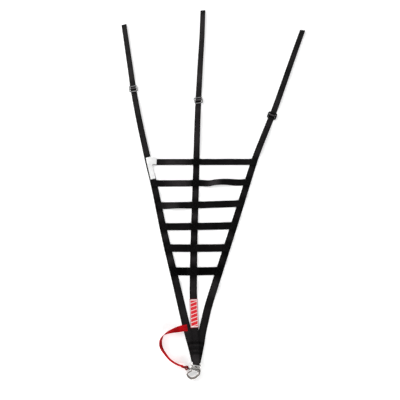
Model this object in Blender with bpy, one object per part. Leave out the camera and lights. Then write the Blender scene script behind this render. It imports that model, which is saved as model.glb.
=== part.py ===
"""Driver window net: a triangular ribbon net of 25 mm webbing, laid out flat.

Three upright straps run together at a point that carries a snap shackle. Six
cross ribbons are sewn over them. Lengths are in millimetres and are turned
into metres when a mesh is made. The plan is drawn from its own origin, a spot
on the floor near the point of the net; the empty net_origin then brings the
middle of the whole footprint to the world origin.
"""

import math

import bmesh
import bpy
from mathutils import Matrix, Vector

MM = 0.001

# Driving sizes
FOOTPRINT_MIDDLE = (61.7, 599.8)
STRAP_WIDTH = 25.0
RIBBON_WIDTH = 27.5
WEB_THICK = 1.4
GAP = 0.3
LAYER = WEB_THICK + GAP
LABEL_THICK = 1.0

# Upright straps: plan of the middle line, top end first
LEFT_PLAN = [
    # y, x
    (1295.0, -369.0),
    (989.0, -308.0),
    (903.0, -291.0),
    (733.0, -251.5),
    (545.0, -202.5),
    (434.0, -171.5),
    (247.0, -125.0),
    (83.0, -79.5),
    (-29.0, -48.9),
    (-82.0, -32.7),
    (-115.0, -22.3),
    (-150.0, -12.4),
]
CENTRE_PLAN = [
    # y, x
    (1394.0, 14.5),
    (1209.0, 9.0),
    (1060.0, 2.0),
    (841.0, -7.0),
    (674.0, -11.9),
    (484.0, -15.3),
    (247.0, -20.8),
    (83.0, -22.4),
    (35.0, -21.4),
    (-52.0, -17.0),
    (-94.0, -14.0),
    (-150.0, -12.0),
]
RIGHT_PLAN = [
    # y, x
    (1257.0, 493.0),
    (1096.0, 431.0),
    (824.0, 327.5),
    (762.0, 302.0),
    (590.0, 229.5),
    (510.0, 200.0),
    (314.0, 132.5),
    (163.0, 79.5),
    (26.0, 31.8),
    (-29.0, 16.3),
    (-64.0, 7.6),
    (-99.0, 1.0),
    (-132.0, -6.5),
    (-150.0, -11.2),
]

# Cross ribbons: height of the middle line at the left, centre and right strap
RIBBONS = [
    # name, y_left, y_centre, y_right
    ("ribbon_1", 544.0, 544.3, 544.7),
    ("ribbon_2", 452.0, 453.0, 457.0),
    ("ribbon_3", 361.5, 364.3, 371.0),
    ("ribbon_4", 281.3, 282.0, 285.5),
    ("ribbon_5", 204.3, 203.4, 205.0),
    ("ribbon_6", 124.3, 123.8, 125.8),
]
# Slack ribbons stand up on one edge between two straps
CURLS = [
    # name, x_start, x_end, lift of the lower edge in degrees
    ("ribbon_2", -2.0, 122.0, 21.0),
    ("ribbon_3", -137.0, -36.0, 23.0),
]
# A slack ribbon also wanders sideways
WANDERS = [
    # name, x_start, x_end, shift
    ("ribbon_2", 10.0, 52.0, -2.0),
    ("ribbon_2", 40.0, 140.0, 3.6),
]
RIBBON_RAMP = 11.0
RIBBON_MARGIN = 2.0
RIBBON_STEP = 9.0

# Stations of an upright strap: close together in its adjuster and in the point
ADJUSTER_STEPS = 11
STRAP_TOP_STEP = 60.0
STRAP_STEP = 40.0
POINT_STEP = 5.0
POINT_START = 20.0

# Layers in the point: where a strap climbs over the ones below it
RIGHT_CLIMBS = [
    # y_start, y_end, rise
    (-68.0, -94.0, LAYER),
]
CENTRE_CLIMBS = [
    # y_start, y_end, rise
    (-16.0, -44.0, LAYER),
    (-60.0, -86.0, LAYER),
]
SIDE_STRAP_END = -150.0
FLAP_END = -94.0
FLAP_REST = -124.0

# Slide adjusters: place, turn and size
GLIDE_WIDE = 38.0
GLIDE_TALL = 32.0
GLIDE_WIRE = 4.0
GLIDE_BAR = 3.88
GLIDE_CORNER = 6.0
PLASTIC_WIDE = 39.0
PLASTIC_TALL = 33.0
PLASTIC_THICK = 3.6
PLASTIC_CORNER = 8.0
PLASTIC_SLOT_WIDE = 28.0
PLASTIC_SLOT_TALL = 9.5
PLASTIC_BAR = 4.5
# Past an adjuster's end a strap stays level with its bar for HOLD, then turns to its own way over FADE
ADJUSTER_HOLD = 2.0
ADJUSTER_FADE = 20.0
WIRE_REACH = (GLIDE_TALL - GLIDE_WIRE) / 2
PLASTIC_REACH = PLASTIC_BAR / 2 + PLASTIC_SLOT_TALL - GAP
# The strap passes over the middle bar: the bar's height, and the flat and whole half lengths of its hump
GLIDES = [
    # name, strap, x, y, turn in degrees, bar height, flat, reach
    ("glide_left", "strap_left", -291.0, 903.0, 12.0, GLIDE_WIRE, 0.0, WIRE_REACH),
    ("glide_centre", "strap_centre", -7.0, 841.0, 12.0, GLIDE_WIRE, 0.0, WIRE_REACH),
    ("glide_right", "strap_right", 302.0, 762.0, -21.5, PLASTIC_THICK, 2.7, PLASTIC_REACH),
]

# Labels
PLAIN_STRIP = [
    # y, x, height of the underside
    (564.0, -204.6, 2 * LAYER),
    (528.0, -195.2, 2 * LAYER),
    (512.0, -191.0, LAYER),
    (470.5, -180.2, LAYER),
]
PLAIN_STRIP_WIDE = 18.0
PLAIN_FLAP = [
    # x, y, height of the underside
    (-205.0, 547.5, 2 * LAYER + 0.5),
    (-188.0, 548.0, 2 * LAYER + 0.5),
    (-170.0, 548.5, LAYER + 0.9),
]
PLAIN_FLAP_WIDE = 33.0
STRIPED_TOP = 35.0
STRIPED_BOTTOM = -52.0
STRIPED_WIDE = 27.0

# Snap shackle, in its own frame: x along the body, y towards the webbing
SHACKLE_PLACE = (-15.5, -166.0)
SHACKLE_TURN = -8.0
SHACKLE_MID = 4.9
BAIL_SHIFT = 2.0
BAIL_HALF = 13.0
BAIL_BASE = 6.0
BAIL_TOP = 13.6
BAIL_RISE = 2.2
BAIL_WIRE = 4.0
BAIL_CORNER = 3.4
BAIL_BOSS = (13.0, 4.4, 7.6)
BAIL_BORE_LONG = 12.0
POST_RADIUS = 2.0
POST_LONG = 7.0
POST_MIDDLE = 1.6
BODY_LEFT = -13.2
BODY_RIGHT = 8.4
BODY_LOW = -4.8
BODY_HIGH = 3.4
BODY_TALL = 9.2
BODY_EDGE = 1.6
EARS_TALL = 9.8
EAR_THICK = 2.1
EAR_RADIUS = 5.2
EAR_ROOT_INSET = 4.0
EAR_ROOT_LIFT = 1.8
PIVOT = (13.0, -2.8)
RIVET_RADIUS = 1.7
RIVET_BASE = 0.2
RIVET_TALL = 10.4
RIVET_HEAD_RADIUS = 3.0
RIVET_HEAD_TALL = 0.9
JAW_WIRE = 5.0
JAW_EYE = 4.4
JAW_ROUTE = [
    # x, y
    (14.6, -5.6),
    (15.6, -9.0),
    (13.2, -13.8),
    (9.4, -18.0),
    (4.4, -23.2),
    (-3.6, -27.2),
    (-12.2, -26.0),
    (-17.6, -22.2),
    (-21.0, -17.6),
    (-18.6, -13.4),
    (-13.6, -9.6),
    (-9.4, -6.6),
]
TANG = (-9.0, -4.4)
TANG_SIZE = (3.8, 6.0, 4.6)
SLOT_WALL = 1.8
SLOT_WIDE = 5.0
SLOT_TALL = 5.6
SLOT_TOP = -0.5
SLOT_DEEP = 12.0
PIN_Y = -2.4
PIN_RADIUS = 1.2
PIN_EYE_X = -17.0
PIN_EYE = 2.5
PIN_EYE_WIRE = 1.6
PIN_HOLE_LONG = 8.0
BORE_LONG = 30.0
RING_RADIUS = 7.5
RING_WIRE = 1.6
RING_TURN = -16.6

# Red pull strap: middle line, roll onto its edge, width and lift of its low edge
PULL_THICK = 1.4
PULL_FREE = 0.05
PULL_ROUTE = [
    # x, y, roll, width, lift
    (-40.5, -51.6, 0.0, 19.0, LAYER),
    (-50.0, -52.8, 0.0, 19.0, LAYER),
    (-60.0, -54.4, 9.0, 19.0, LAYER),
    (-72.0, -56.8, 31.0, 19.0, 0.4),
    (-87.0, -60.6, 53.0, 19.0, 0.0),
    (-101.5, -65.6, 71.0, 19.0, 0.0),
    (-115.0, -74.2, 90.0, 19.0, 0.0),
    (-122.2, -88.0, 102.0, 19.0, 0.0),
    (-121.6, -102.0, 100.0, 19.0, 0.0),
    (-114.6, -115.8, 92.0, 19.0, 0.0),
    (-96.8, -136.2, 90.0, 19.0, 0.0),
    (-82.4, -147.0, 90.0, 19.0, 0.0),
    (-68.0, -154.0, 90.0, 18.6, 0.2),
    (-57.0, -157.3, 90.0, 15.0, 1.0),
    (-50.5, -158.9, 90.0, 13.0, 1.9),
]
PULL_FOLD_RADIUS = 3.4
PULL_FOLD_WIDE = 11.4
PULL_FOLD_AHEAD = 1.9
PULL_TAIL = [
    # x, y, roll, width, lift
    (-47.0, -166.2, 90.0, 11.4, 2.7),
    (-51.6, -162.0, 90.0, 12.0, 2.4),
    (-58.0, -159.4, 90.0, 13.5, 1.7),
]

# Colours, red green blue, with roughness and metallic value
LOOKS = {
    # name: colour, roughness, metallic
    "black_webbing": ((0.012, 0.012, 0.013), 0.75, 0.0),
    "red_webbing": ((0.45, 0.012, 0.02), 0.7, 0.0),
    "white_label": ((0.78, 0.78, 0.77), 0.8, 0.0),
    "striped_label": ((0.62, 0.03, 0.04), 0.75, 0.0),
    "bright_metal": ((0.45, 0.43, 0.41), 0.3, 1.0),
    "black_plastic": ((0.015, 0.015, 0.016), 0.45, 0.0),
}


def clear_scene():
    for item in list(bpy.data.objects):
        bpy.data.objects.remove(item, do_unlink=True)


def look(name):
    """The named material, made once."""
    material = bpy.data.materials.get(name)
    if material is None:
        colour, roughness, metallic = LOOKS[name]
        material = bpy.data.materials.new(name)
        material.use_nodes = True
        shader = material.node_tree.nodes["Principled BSDF"]
        shader.inputs["Base Color"].default_value = (*colour, 1.0)
        shader.inputs["Roughness"].default_value = roughness
        shader.inputs["Metallic"].default_value = metallic
    return material


def add_empty(name, place, turn_degrees, parent):
    empty = bpy.data.objects.new(name, None)
    bpy.context.collection.objects.link(empty)
    empty.location = [value * MM for value in place]
    empty.rotation_euler.z = math.radians(turn_degrees)
    empty.parent = parent
    return empty


def add_object(name, shape, look_name, parent, place=(0.0, 0.0, 0.0), smooth=False):
    """Turn a bmesh in millimetres into an object in metres, at its place."""
    bmesh.ops.scale(shape, vec=(MM, MM, MM), verts=shape.verts)
    bmesh.ops.recalc_face_normals(shape, faces=shape.faces)
    mesh = bpy.data.meshes.new(name)
    shape.to_mesh(mesh)
    shape.free()
    if smooth:
        mesh.shade_smooth()
        mesh.set_sharp_from_angle(angle=math.radians(40.0))
    item = bpy.data.objects.new(name, mesh)
    bpy.context.collection.objects.link(item)
    item.location = [value * MM for value in place]
    item.parent = parent
    mesh.materials.append(look(look_name))
    return item


def add_tool(name, shape, parent, place=(0.0, 0.0, 0.0)):
    """A guide body for a Boolean: drawn as wire and left out of the part."""
    tool = add_object(name, shape, "bright_metal", parent, place)
    tool.hide_render = True
    tool.display_type = "WIRE"
    return tool


def boolean(item, tool, operation):
    modifier = item.modifiers.new(tool.name, "BOOLEAN")
    modifier.operation = operation
    modifier.solver = "EXACT"
    modifier.object = tool


def smooth_step(value):
    value = min(max(value, 0.0), 1.0)
    return value * value * (3.0 - 2.0 * value)


def turned(vector, degrees):
    """A plan vector turned counter-clockwise."""
    return Matrix.Rotation(math.radians(degrees), 3, "Z") @ vector


def curve_through(rows, count):
    """Catmull-Rom curve through rows of numbers, count points between neighbours."""
    first = [2 * a - b for a, b in zip(rows[0], rows[1])]
    last = [2 * a - b for a, b in zip(rows[-1], rows[-2])]
    knots = [first, *rows, last]
    points = []
    for before, start, stop, after in zip(knots, knots[1:], knots[2:], knots[3:]):
        for step in range(count):
            t = step / count
            point = []
            for a, b, c, d in zip(before, start, stop, after):
                cubic = -a + 3 * b - 3 * c + d
                square = 2 * a - 5 * b + 4 * c - d
                point.append(b + 0.5 * t * (c - a + t * (square + t * cubic)))
            points.append(point)
    points.append(list(rows[-1]))
    return points


def along(plan, y):
    """x of a strap's middle line at height y, from its plan, top end first."""
    lines = curve_through(plan, 12)
    for (y_top, x_top), (y_low, x_low) in zip(lines, lines[1:]):
        if y >= y_low:
            share = (y_top - y) / (y_top - y_low)
            return x_top + share * (x_low - x_top)
    return lines[-1][1]


def heading(plan, y):
    """Unit plan vector down a strap at height y."""
    reach = 2.0
    run = along(plan, y - reach) - along(plan, y + reach)
    return Vector((run, -2 * reach, 0.0)).normalized()


def band(name, stations, look_name, parent):
    """A closed strip of webbing. A station is its middle, half side and half thickness."""
    shape = bmesh.new()
    rings = []
    for middle, side, up in stations:
        corners = (middle - side - up, middle + side - up, middle + side + up, middle - side + up)
        rings.append([shape.verts.new(corner) for corner in corners])
    for ring, following in zip(rings, rings[1:]):
        for a, b in ((0, 1), (1, 2), (2, 3), (3, 0)):
            shape.faces.new((ring[a], ring[b], following[b], following[a]))
    shape.faces.new(reversed(rings[0]))
    shape.faces.new(rings[-1])
    return add_object(name, shape, look_name, parent)


def stations_from(route, thick):
    """Stations of a strip from rows of (middle, way down the strip, across, width, roll)."""
    stations = []
    for index, (middle, way, across, width, roll) in enumerate(route):
        before = route[max(index - 1, 0)][0]
        after = route[min(index + 1, len(route) - 1)][0]
        tangent = (after - before).normalized()
        square = turned(way, 90.0)
        side = across * (width / 2) / across.dot(square)
        up = tangent.cross(across).normalized()
        lean = math.radians(roll)
        lifted = side * math.cos(lean) + up * math.sin(lean) * side.length
        raised = tangent.cross(lifted).normalized() * (thick / 2)
        stations.append((middle, lifted, raised))
    return stations


def climb_at(climbs, y):
    """Height of a strap's underside at y, from its list of climbs."""
    return sum(rise * smooth_step((start - y) / (start - end)) for start, end, rise in climbs)


def glide_of(strap):
    return next(row for row in GLIDES if row[1] == strap)


def strap_heights(start, end, glide_y):
    """Heights y of a strap's stations: fine in its adjuster and in the point."""
    fine = WIRE_REACH / 7
    heights = [glide_y + fine * step for step in range(-ADJUSTER_STEPS, ADJUSTER_STEPS + 1)]
    y = glide_y + 50.0
    while y < start - 20.0:
        heights.append(y)
        y += STRAP_TOP_STEP
    y = glide_y - 50.0
    while y > POINT_START + 10.0:
        heights.append(y)
        y -= STRAP_STEP
    y = POINT_START
    while y > end + 2.0:
        heights.append(y)
        y -= POINT_STEP
    return sorted({start, end, *heights}, reverse=True)


def strap_route(strap, plan, climbs, end):
    """Route of an upright strap from its top end to the point."""
    glide_x, glide_y, turn, bar_height, flat, reach = glide_of(strap)[2:]
    bar = turned(Vector((1.0, 0.0, 0.0)), turn)
    square_to_bar = turned(bar, 90.0)
    hump = bar_height + 2 * GAP + WEB_THICK
    hold = WIRE_REACH + ADJUSTER_HOLD
    route = []
    for y in strap_heights(plan[0][0], end, glide_y):
        way = heading(plan, y)
        place = Vector((along(plan, y), y, 0.0))
        from_glide = abs((place - Vector((glide_x, glide_y, 0.0))).dot(square_to_bar))
        over = hump * smooth_step((reach - from_glide) / (reach - flat))
        square = turned(way, 90.0)
        loosen = smooth_step((from_glide - hold) / ADJUSTER_FADE)
        across = bar.lerp(square, loosen).normalized()
        place.z = climb_at(climbs, y) + WEB_THICK / 2 + over
        route.append((place, way, across, STRAP_WIDTH, 0.0))
    return route


def side_strap(name, plan, climbs, parent):
    """Left or right strap; its lower end is cut along the bail's bar."""
    route = strap_route(name, plan, climbs, SIDE_STRAP_END)
    bar = turned(Vector((1.0, 0.0, 0.0)), SHACKLE_TURN)
    for index in range(-3, 0):
        middle, way, across, width, roll = route[index]
        share = (index + 4) / 3
        route[index] = (middle, way, across.lerp(bar, share).normalized(), width, roll)
    return band(name, stations_from(route, WEB_THICK), "black_webbing", parent)


def shackle_to_plan(x, y, z=0.0):
    """A point of the shackle's frame, in the plan."""
    point = turned(Vector((x, y, 0.0)), SHACKLE_TURN)
    return point + Vector((SHACKLE_PLACE[0], SHACKLE_PLACE[1], z))


def centre_strap(parent):
    """Centre strap: down to the bail, round its bar and back over the point as a flap."""
    bar = turned(Vector((1.0, 0.0, 0.0)), SHACKLE_TURN)
    down = turned(Vector((0.0, -1.0, 0.0)), SHACKLE_TURN)
    centre = shackle_to_plan(BAIL_SHIFT, BAIL_TOP, SHACKLE_MID + BAIL_RISE)
    turn_radius = (BAIL_WIRE + WEB_THICK) / 2 + GAP
    gathered = 2 * BAIL_HALF - BAIL_WIRE - 4 * GAP
    route = strap_route("strap_centre", CENTRE_PLAN, CENTRE_CLIMBS, centre.y + 12.0)
    low = route[-1][0]
    steps = 5
    for step in range(1, steps):
        share = step / steps
        place = low.lerp(centre, share)
        place.z = low.z + share * (centre.z - turn_radius - low.z)
        across = turned(Vector((1.0, 0.0, 0.0)), SHACKLE_TURN * share)
        route.append((place, down, across, STRAP_WIDTH + share * (gathered - STRAP_WIDTH), 0.0))
    arc_steps = 10
    for step in range(arc_steps + 1):
        angle = math.pi * step / arc_steps
        place = centre + down * (turn_radius * math.sin(angle))
        place.z = centre.z - turn_radius * math.cos(angle)
        route.append((place, down, bar, gathered, 0.0))
    route += flap_route(centre, turn_radius, gathered)
    return band("strap_centre", stations_from(route, WEB_THICK), "black_webbing", parent)


def flap_route(centre, turn_radius, gathered):
    """The folded-back end of the centre strap, from the bail up to its cut end."""
    flap = []
    top = centre.z + turn_radius
    rest = 3 * LAYER + WEB_THICK / 2
    steps = 9
    for step in range(1, steps + 1):
        share = step / steps
        y = centre.y + share * (FLAP_END - centre.y)
        down = heading(CENTRE_PLAN, y)
        settle = smooth_step((y - centre.y) / (FLAP_REST - centre.y))
        x = centre.x + settle * (along(CENTRE_PLAN, y) - centre.x)
        place = Vector((x, y, top + settle * (rest - top)))
        across = turned(Vector((1.0, 0.0, 0.0)), SHACKLE_TURN * (1 - settle))
        width = gathered + smooth_step(2 * share) * (STRAP_WIDTH - gathered)
        flap.append((place, down, across, width, 0.0))
    return flap


def bump(x, start, end):
    """0 at both ends of a stretch and 1 in its middle."""
    if not start < x < end:
        return 0.0
    return math.sin(math.pi * (x - start) / (end - start)) ** 1.2


def ribbon_crossings(y_left, y_centre, y_right):
    """Edges and slant of each strap under a ribbon: (low edge x, high edge x, slant)."""
    crossings = []
    for plan, y in ((LEFT_PLAN, y_left), (CENTRE_PLAN, y_centre), (RIGHT_PLAN, y_right)):
        way = heading(plan, y)
        half = STRAP_WIDTH / 2 / -way.y
        x = along(plan, y)
        crossings.append((x - half, x + half, way.x / way.y))
    return crossings


def ribbon_lift(x, crossings):
    """1 over a strap and its margins, 0 where the ribbon lies on the floor."""
    lift = 0.0
    for low, high, _slant in crossings:
        outside = max(low - x, x - high, 0.0)
        lift = max(lift, 1.0 - smooth_step((outside - RIBBON_MARGIN) / RIBBON_RAMP))
    return lift


def ribbon(name, y_left, y_centre, y_right, parent):
    """A cross ribbon from the left strap's outer edge to the right strap's."""
    crossings = ribbon_crossings(y_left, y_centre, y_right)
    start, end = crossings[0][0], crossings[2][1]
    middle_x = (crossings[1][0] + crossings[1][1]) / 2
    count = round((end - start) / RIBBON_STEP) * 2
    route = []
    for step in range(count + 1):
        x = start + (end - start) * step / count
        if x < middle_x:
            share = (x - start) / (middle_x - start)
            y = y_left + share * (y_centre - y_left)
            slant = crossings[0][2] + share * (crossings[1][2] - crossings[0][2])
        else:
            share = (x - middle_x) / (end - middle_x)
            y = y_centre + share * (y_right - y_centre)
            slant = crossings[1][2] + share * (crossings[2][2] - crossings[1][2])
        y += sum(row[3] * bump(x, row[1], row[2]) for row in WANDERS if row[0] == name)
        roll = sum(row[3] * bump(x, row[1], row[2]) for row in CURLS if row[0] == name)
        z = LAYER * ribbon_lift(x, crossings) + WEB_THICK / 2
        across = Vector((slant, 1.0, 0.0)).normalized()
        z += RIBBON_WIDTH / 2 / across.y * math.sin(math.radians(roll))
        route.append((Vector((x, y, z)), Vector((1.0, 0.0, 0.0)), across, RIBBON_WIDTH, -roll))
    return band(name, stations_from(route, WEB_THICK), "black_webbing", parent)


def rounded_rectangle(wide, tall, corner, steps):
    """Plan points of a rounded rectangle about the origin, counter-clockwise."""
    points = []
    quarters = ((1, 1, 0), (-1, 1, 90), (-1, -1, 180), (1, -1, 270))
    for sign_x, sign_y, first in quarters:
        for step in range(steps + 1):
            angle = math.radians(first + 90.0 * step / steps)
            x = sign_x * (wide / 2 - corner) + corner * math.cos(angle)
            y = sign_y * (tall / 2 - corner) + corner * math.sin(angle)
            points.append(Vector((x, y, 0.0)))
    return points


def add_tube(shape, points, radius, closed, sides=8, normal=(0.0, 0.0, 1.0)):
    """A round wire along points, all in planes close to square to the normal."""
    normal = Vector(normal)
    count = len(points)
    rings = []
    for index, point in enumerate(points):
        if closed:
            tangent = points[(index + 1) % count] - points[index - 1]
        else:
            tangent = points[min(index + 1, count - 1)] - points[max(index - 1, 0)]
        outward = tangent.cross(normal).normalized()
        upward = outward.cross(tangent).normalized()
        ring = []
        for side in range(sides):
            angle = math.tau * (side + 0.5) / sides
            offset = outward * math.cos(angle) + upward * math.sin(angle)
            ring.append(shape.verts.new(point + offset * radius))
        rings.append(ring)
    pairs = list(zip(rings, rings[1:]))
    if closed:
        pairs.append((rings[-1], rings[0]))
    else:
        shape.faces.new(rings[0])
        shape.faces.new(rings[-1])
    for ring, following in pairs:
        for a in range(sides):
            b = (a + 1) % sides
            shape.faces.new((ring[a], ring[b], following[b], following[a]))


def tube(points, radius, closed=False, sides=8, normal=(0.0, 0.0, 1.0)):
    shape = bmesh.new()
    add_tube(shape, points, radius, closed, sides, normal)
    return shape


def block(size):
    shape = bmesh.new()
    bmesh.ops.create_cube(shape, size=1.0)
    bmesh.ops.scale(shape, vec=size, verts=shape.verts)
    return shape


def rod(radius, length, axis, sides=20):
    """A straight cylinder about the origin, along x, y or z."""
    shape = bmesh.new()
    radii = {"radius1": radius, "radius2": radius}
    bmesh.ops.create_cone(shape, cap_ends=True, segments=sides, depth=length, **radii)
    turns = {"x": Matrix.Rotation(math.pi / 2, 3, "Y"), "y": Matrix.Rotation(math.pi / 2, 3, "X")}
    if axis in turns:
        bmesh.ops.rotate(shape, matrix=turns[axis], verts=shape.verts)
    return shape


def plate(points, thick):
    """A flat plate with the given plan outline, standing on z = 0."""
    shape = bmesh.new()
    face = shape.faces.new([shape.verts.new(point) for point in points])
    swept = bmesh.ops.extrude_face_region(shape, geom=[face])
    lifted = [item for item in swept["geom"] if isinstance(item, bmesh.types.BMVert)]
    bmesh.ops.translate(shape, vec=(0.0, 0.0, thick), verts=lifted)
    return shape


def wire_glide(name, x, y, turn, parent):
    """Wire slide adjuster: a rounded frame with a bar across its middle."""
    frame = add_empty(name + "_place", (x, y, LAYER + GLIDE_WIRE / 2), turn, parent)
    wide = GLIDE_WIDE - GLIDE_WIRE
    tall = GLIDE_TALL - GLIDE_WIRE
    outline = rounded_rectangle(wide, tall, GLIDE_CORNER - GLIDE_WIRE / 2, 3)
    wire = tube(outline, GLIDE_WIRE / 2, closed=True)
    glide = add_object(name, wire, "bright_metal", frame, smooth=True)
    bar = add_tool(name + "_bar", rod(GLIDE_BAR / 2, wide, "x", 12), frame)
    boolean(glide, bar, "UNION")
    return glide


def plastic_glide(name, x, y, turn, parent):
    """Moulded slide adjuster: a rounded plate with two slots."""
    frame = add_empty(name + "_place", (x, y, LAYER), turn, parent)
    outline = rounded_rectangle(PLASTIC_WIDE, PLASTIC_TALL, PLASTIC_CORNER, 4)
    glide = add_object(name, plate(outline, PLASTIC_THICK), "black_plastic", frame, smooth=True)
    for sign in (-1, 1):
        shift = sign * (PLASTIC_BAR + PLASTIC_SLOT_TALL) / 2
        slot_outline = rounded_rectangle(PLASTIC_SLOT_WIDE, PLASTIC_SLOT_TALL, 2.0, 2)
        slot = plate(slot_outline, 3 * PLASTIC_THICK)
        cutter = add_tool(f"{name}_slot{sign + 1}", slot, frame, (0.0, shift, -PLASTIC_THICK))
        boolean(glide, cutter, "DIFFERENCE")
    return glide


def plain_label(parent):
    """White label: a strip down the left strap and a flap folded along the first ribbon."""
    strip = []
    for y, x, base in curve_through(PLAIN_STRIP, 4):
        way = heading(LEFT_PLAN, y)
        middle = Vector((x, y, base + LABEL_THICK / 2))
        strip.append((middle, way, turned(way, 90.0), PLAIN_STRIP_WIDE, 0.0))
    label = band("label_plain", stations_from(strip, LABEL_THICK), "white_label", parent)
    flap = []
    right = Vector((1.0, 0.0, 0.0))
    upward = Vector((0.0, 1.0, 0.0))
    for x, y, base in curve_through(PLAIN_FLAP, 4):
        flap.append((Vector((x, y, base + LABEL_THICK / 2)), right, upward, PLAIN_FLAP_WIDE, 0.0))
    folded = band("label_plain_flap", stations_from(flap, LABEL_THICK), "white_label", parent)
    folded.hide_render = True
    folded.display_type = "WIRE"
    boolean(label, folded, "UNION")
    return label


def striped_label(parent):
    """Red and white label, sewn flat on the centre strap."""
    route = []
    steps = 18
    for step in range(steps + 1):
        y = STRIPED_TOP + (STRIPED_BOTTOM - STRIPED_TOP) * step / steps
        way = heading(CENTRE_PLAN, y)
        z = climb_at(CENTRE_CLIMBS, y) + LAYER + LABEL_THICK / 2
        middle = Vector((along(CENTRE_PLAN, y), y, z))
        route.append((middle, way, turned(way, 90.0), STRIPED_WIDE, 0.0))
    return band("label_striped", stations_from(route, LABEL_THICK), "striped_label", parent)


def shackle_bail(parent):
    """Bail: a closed wire loop on a boss, its top bar lifted by the webbing below it."""
    tall = BAIL_TOP - BAIL_BASE
    points = []
    for point in rounded_rectangle(2 * BAIL_HALF, tall, BAIL_CORNER, 4):
        y = point.y + (BAIL_TOP + BAIL_BASE) / 2
        z = SHACKLE_MID + BAIL_RISE * (y - BAIL_BASE) / tall
        points.append(Vector((point.x + BAIL_SHIFT, y, z)))
    wire = tube(points, BAIL_WIRE / 2, closed=True)
    bail = add_object("shackle_bail", wire, "bright_metal", parent, smooth=True)
    base = (BAIL_SHIFT, BAIL_BASE, SHACKLE_MID)
    boolean(bail, add_tool("shackle_bail_boss", block(BAIL_BOSS), parent, base), "UNION")
    bore = rod(POST_RADIUS + GAP, BAIL_BORE_LONG, "y")
    boolean(bail, add_tool("shackle_bail_bore", bore, parent, base), "DIFFERENCE")
    return bail


def shackle_body(parent):
    """Body: a bar with a swivel post, a slot for the jaw's tang and a clevis for its eye."""
    wide = BODY_RIGHT - BODY_LEFT
    deep = BODY_HIGH - BODY_LOW
    middle = ((BODY_RIGHT + BODY_LEFT) / 2, (BODY_HIGH + BODY_LOW) / 2, SHACKLE_MID)
    bar = block((wide, deep, BODY_TALL))
    body = add_object("shackle_body", bar, "bright_metal", parent, middle, smooth=True)
    bevel = body.modifiers.new("round_edges", "BEVEL")
    bevel.width = BODY_EDGE * MM
    bevel.segments = 2
    post_place = (BAIL_SHIFT, BODY_HIGH + POST_MIDDLE, SHACKLE_MID)
    post = add_tool("shackle_post", rod(POST_RADIUS, POST_LONG, "y"), parent, post_place)
    boolean(body, post, "UNION")
    for name, base in (("low", 0.0), ("high", EARS_TALL - EAR_THICK)):
        ear = add_tool(f"shackle_ear_{name}", plate(ear_outline(), EAR_THICK), parent, (0.0, 0.0, base))
        boolean(body, ear, "UNION")
    slot = block((SLOT_WIDE, SLOT_DEEP, SLOT_TALL))
    slot_place = (BODY_LEFT + SLOT_WALL + SLOT_WIDE / 2, SLOT_TOP - SLOT_DEEP / 2, SHACKLE_MID)
    boolean(body, add_tool("shackle_slot", slot, parent, slot_place), "DIFFERENCE")
    pin_hole = rod(PIN_RADIUS + GAP, PIN_HOLE_LONG, "x")
    pin_place = (BODY_LEFT, PIN_Y, SHACKLE_MID)
    boolean(body, add_tool("shackle_pin_hole", pin_hole, parent, pin_place), "DIFFERENCE")
    rivet_hole = rod(RIVET_RADIUS + GAP, BORE_LONG, "z")
    boolean(body, add_tool("shackle_rivet_hole", rivet_hole, parent, (*PIVOT, 0.0)), "DIFFERENCE")
    return body


def ear_outline():
    """Plan of a clevis ear: from inside the body to a round end about the pivot."""
    root = BODY_RIGHT - EAR_ROOT_INSET
    points = [
        Vector((root, PIVOT[1] + EAR_RADIUS, 0.0)),
        Vector((root, BODY_LOW + EAR_ROOT_LIFT, 0.0)),
    ]
    steps = 8
    for step in range(steps + 1):
        angle = math.radians(-110.0 + 200.0 * step / steps)
        x = PIVOT[0] + EAR_RADIUS * math.cos(angle)
        y = PIVOT[1] + EAR_RADIUS * math.sin(angle)
        points.append(Vector((x, y, 0.0)))
    return points


def shackle_jaw(parent):
    """Jaw: a wire from its eye round to a flat tang; its origin is on the hinge axis."""
    place = (*PIVOT, SHACKLE_MID)
    shift = Vector((-PIVOT[0], -PIVOT[1], 0.0))
    points = [Vector((x, y, 0.0)) + shift for x, y in curve_through(JAW_ROUTE, 2)]
    wire = tube(points, JAW_WIRE / 2)
    jaw = add_object("shackle_jaw", wire, "bright_metal", parent, place, smooth=True)
    eye_tall = EARS_TALL - 2 * EAR_THICK - 2 * GAP
    eye = add_tool("shackle_jaw_eye", rod(JAW_EYE, eye_tall, "z"), parent, place)
    boolean(jaw, eye, "UNION")
    tang = add_tool("shackle_jaw_tang", block(TANG_SIZE), parent, (*TANG, SHACKLE_MID))
    boolean(jaw, tang, "UNION")
    bore = add_tool("shackle_jaw_bore", rod(RIVET_RADIUS + GAP, BORE_LONG, "z"), parent, place)
    boolean(jaw, bore, "DIFFERENCE")
    return jaw


def shackle_rivet(parent):
    """Hinge rivet with a low head on top."""
    shaft = rod(RIVET_RADIUS, RIVET_TALL, "z")
    shaft_place = (*PIVOT, RIVET_BASE + RIVET_TALL / 2)
    rivet = add_object("shackle_rivet", shaft, "bright_metal", parent, shaft_place, smooth=True)
    head = rod(RIVET_HEAD_RADIUS, RIVET_HEAD_TALL, "z")
    head_place = (*PIVOT, EARS_TALL + GAP + RIVET_HEAD_TALL / 2)
    boolean(rivet, add_tool("shackle_rivet_head", head, parent, head_place), "UNION")
    return rivet


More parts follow.
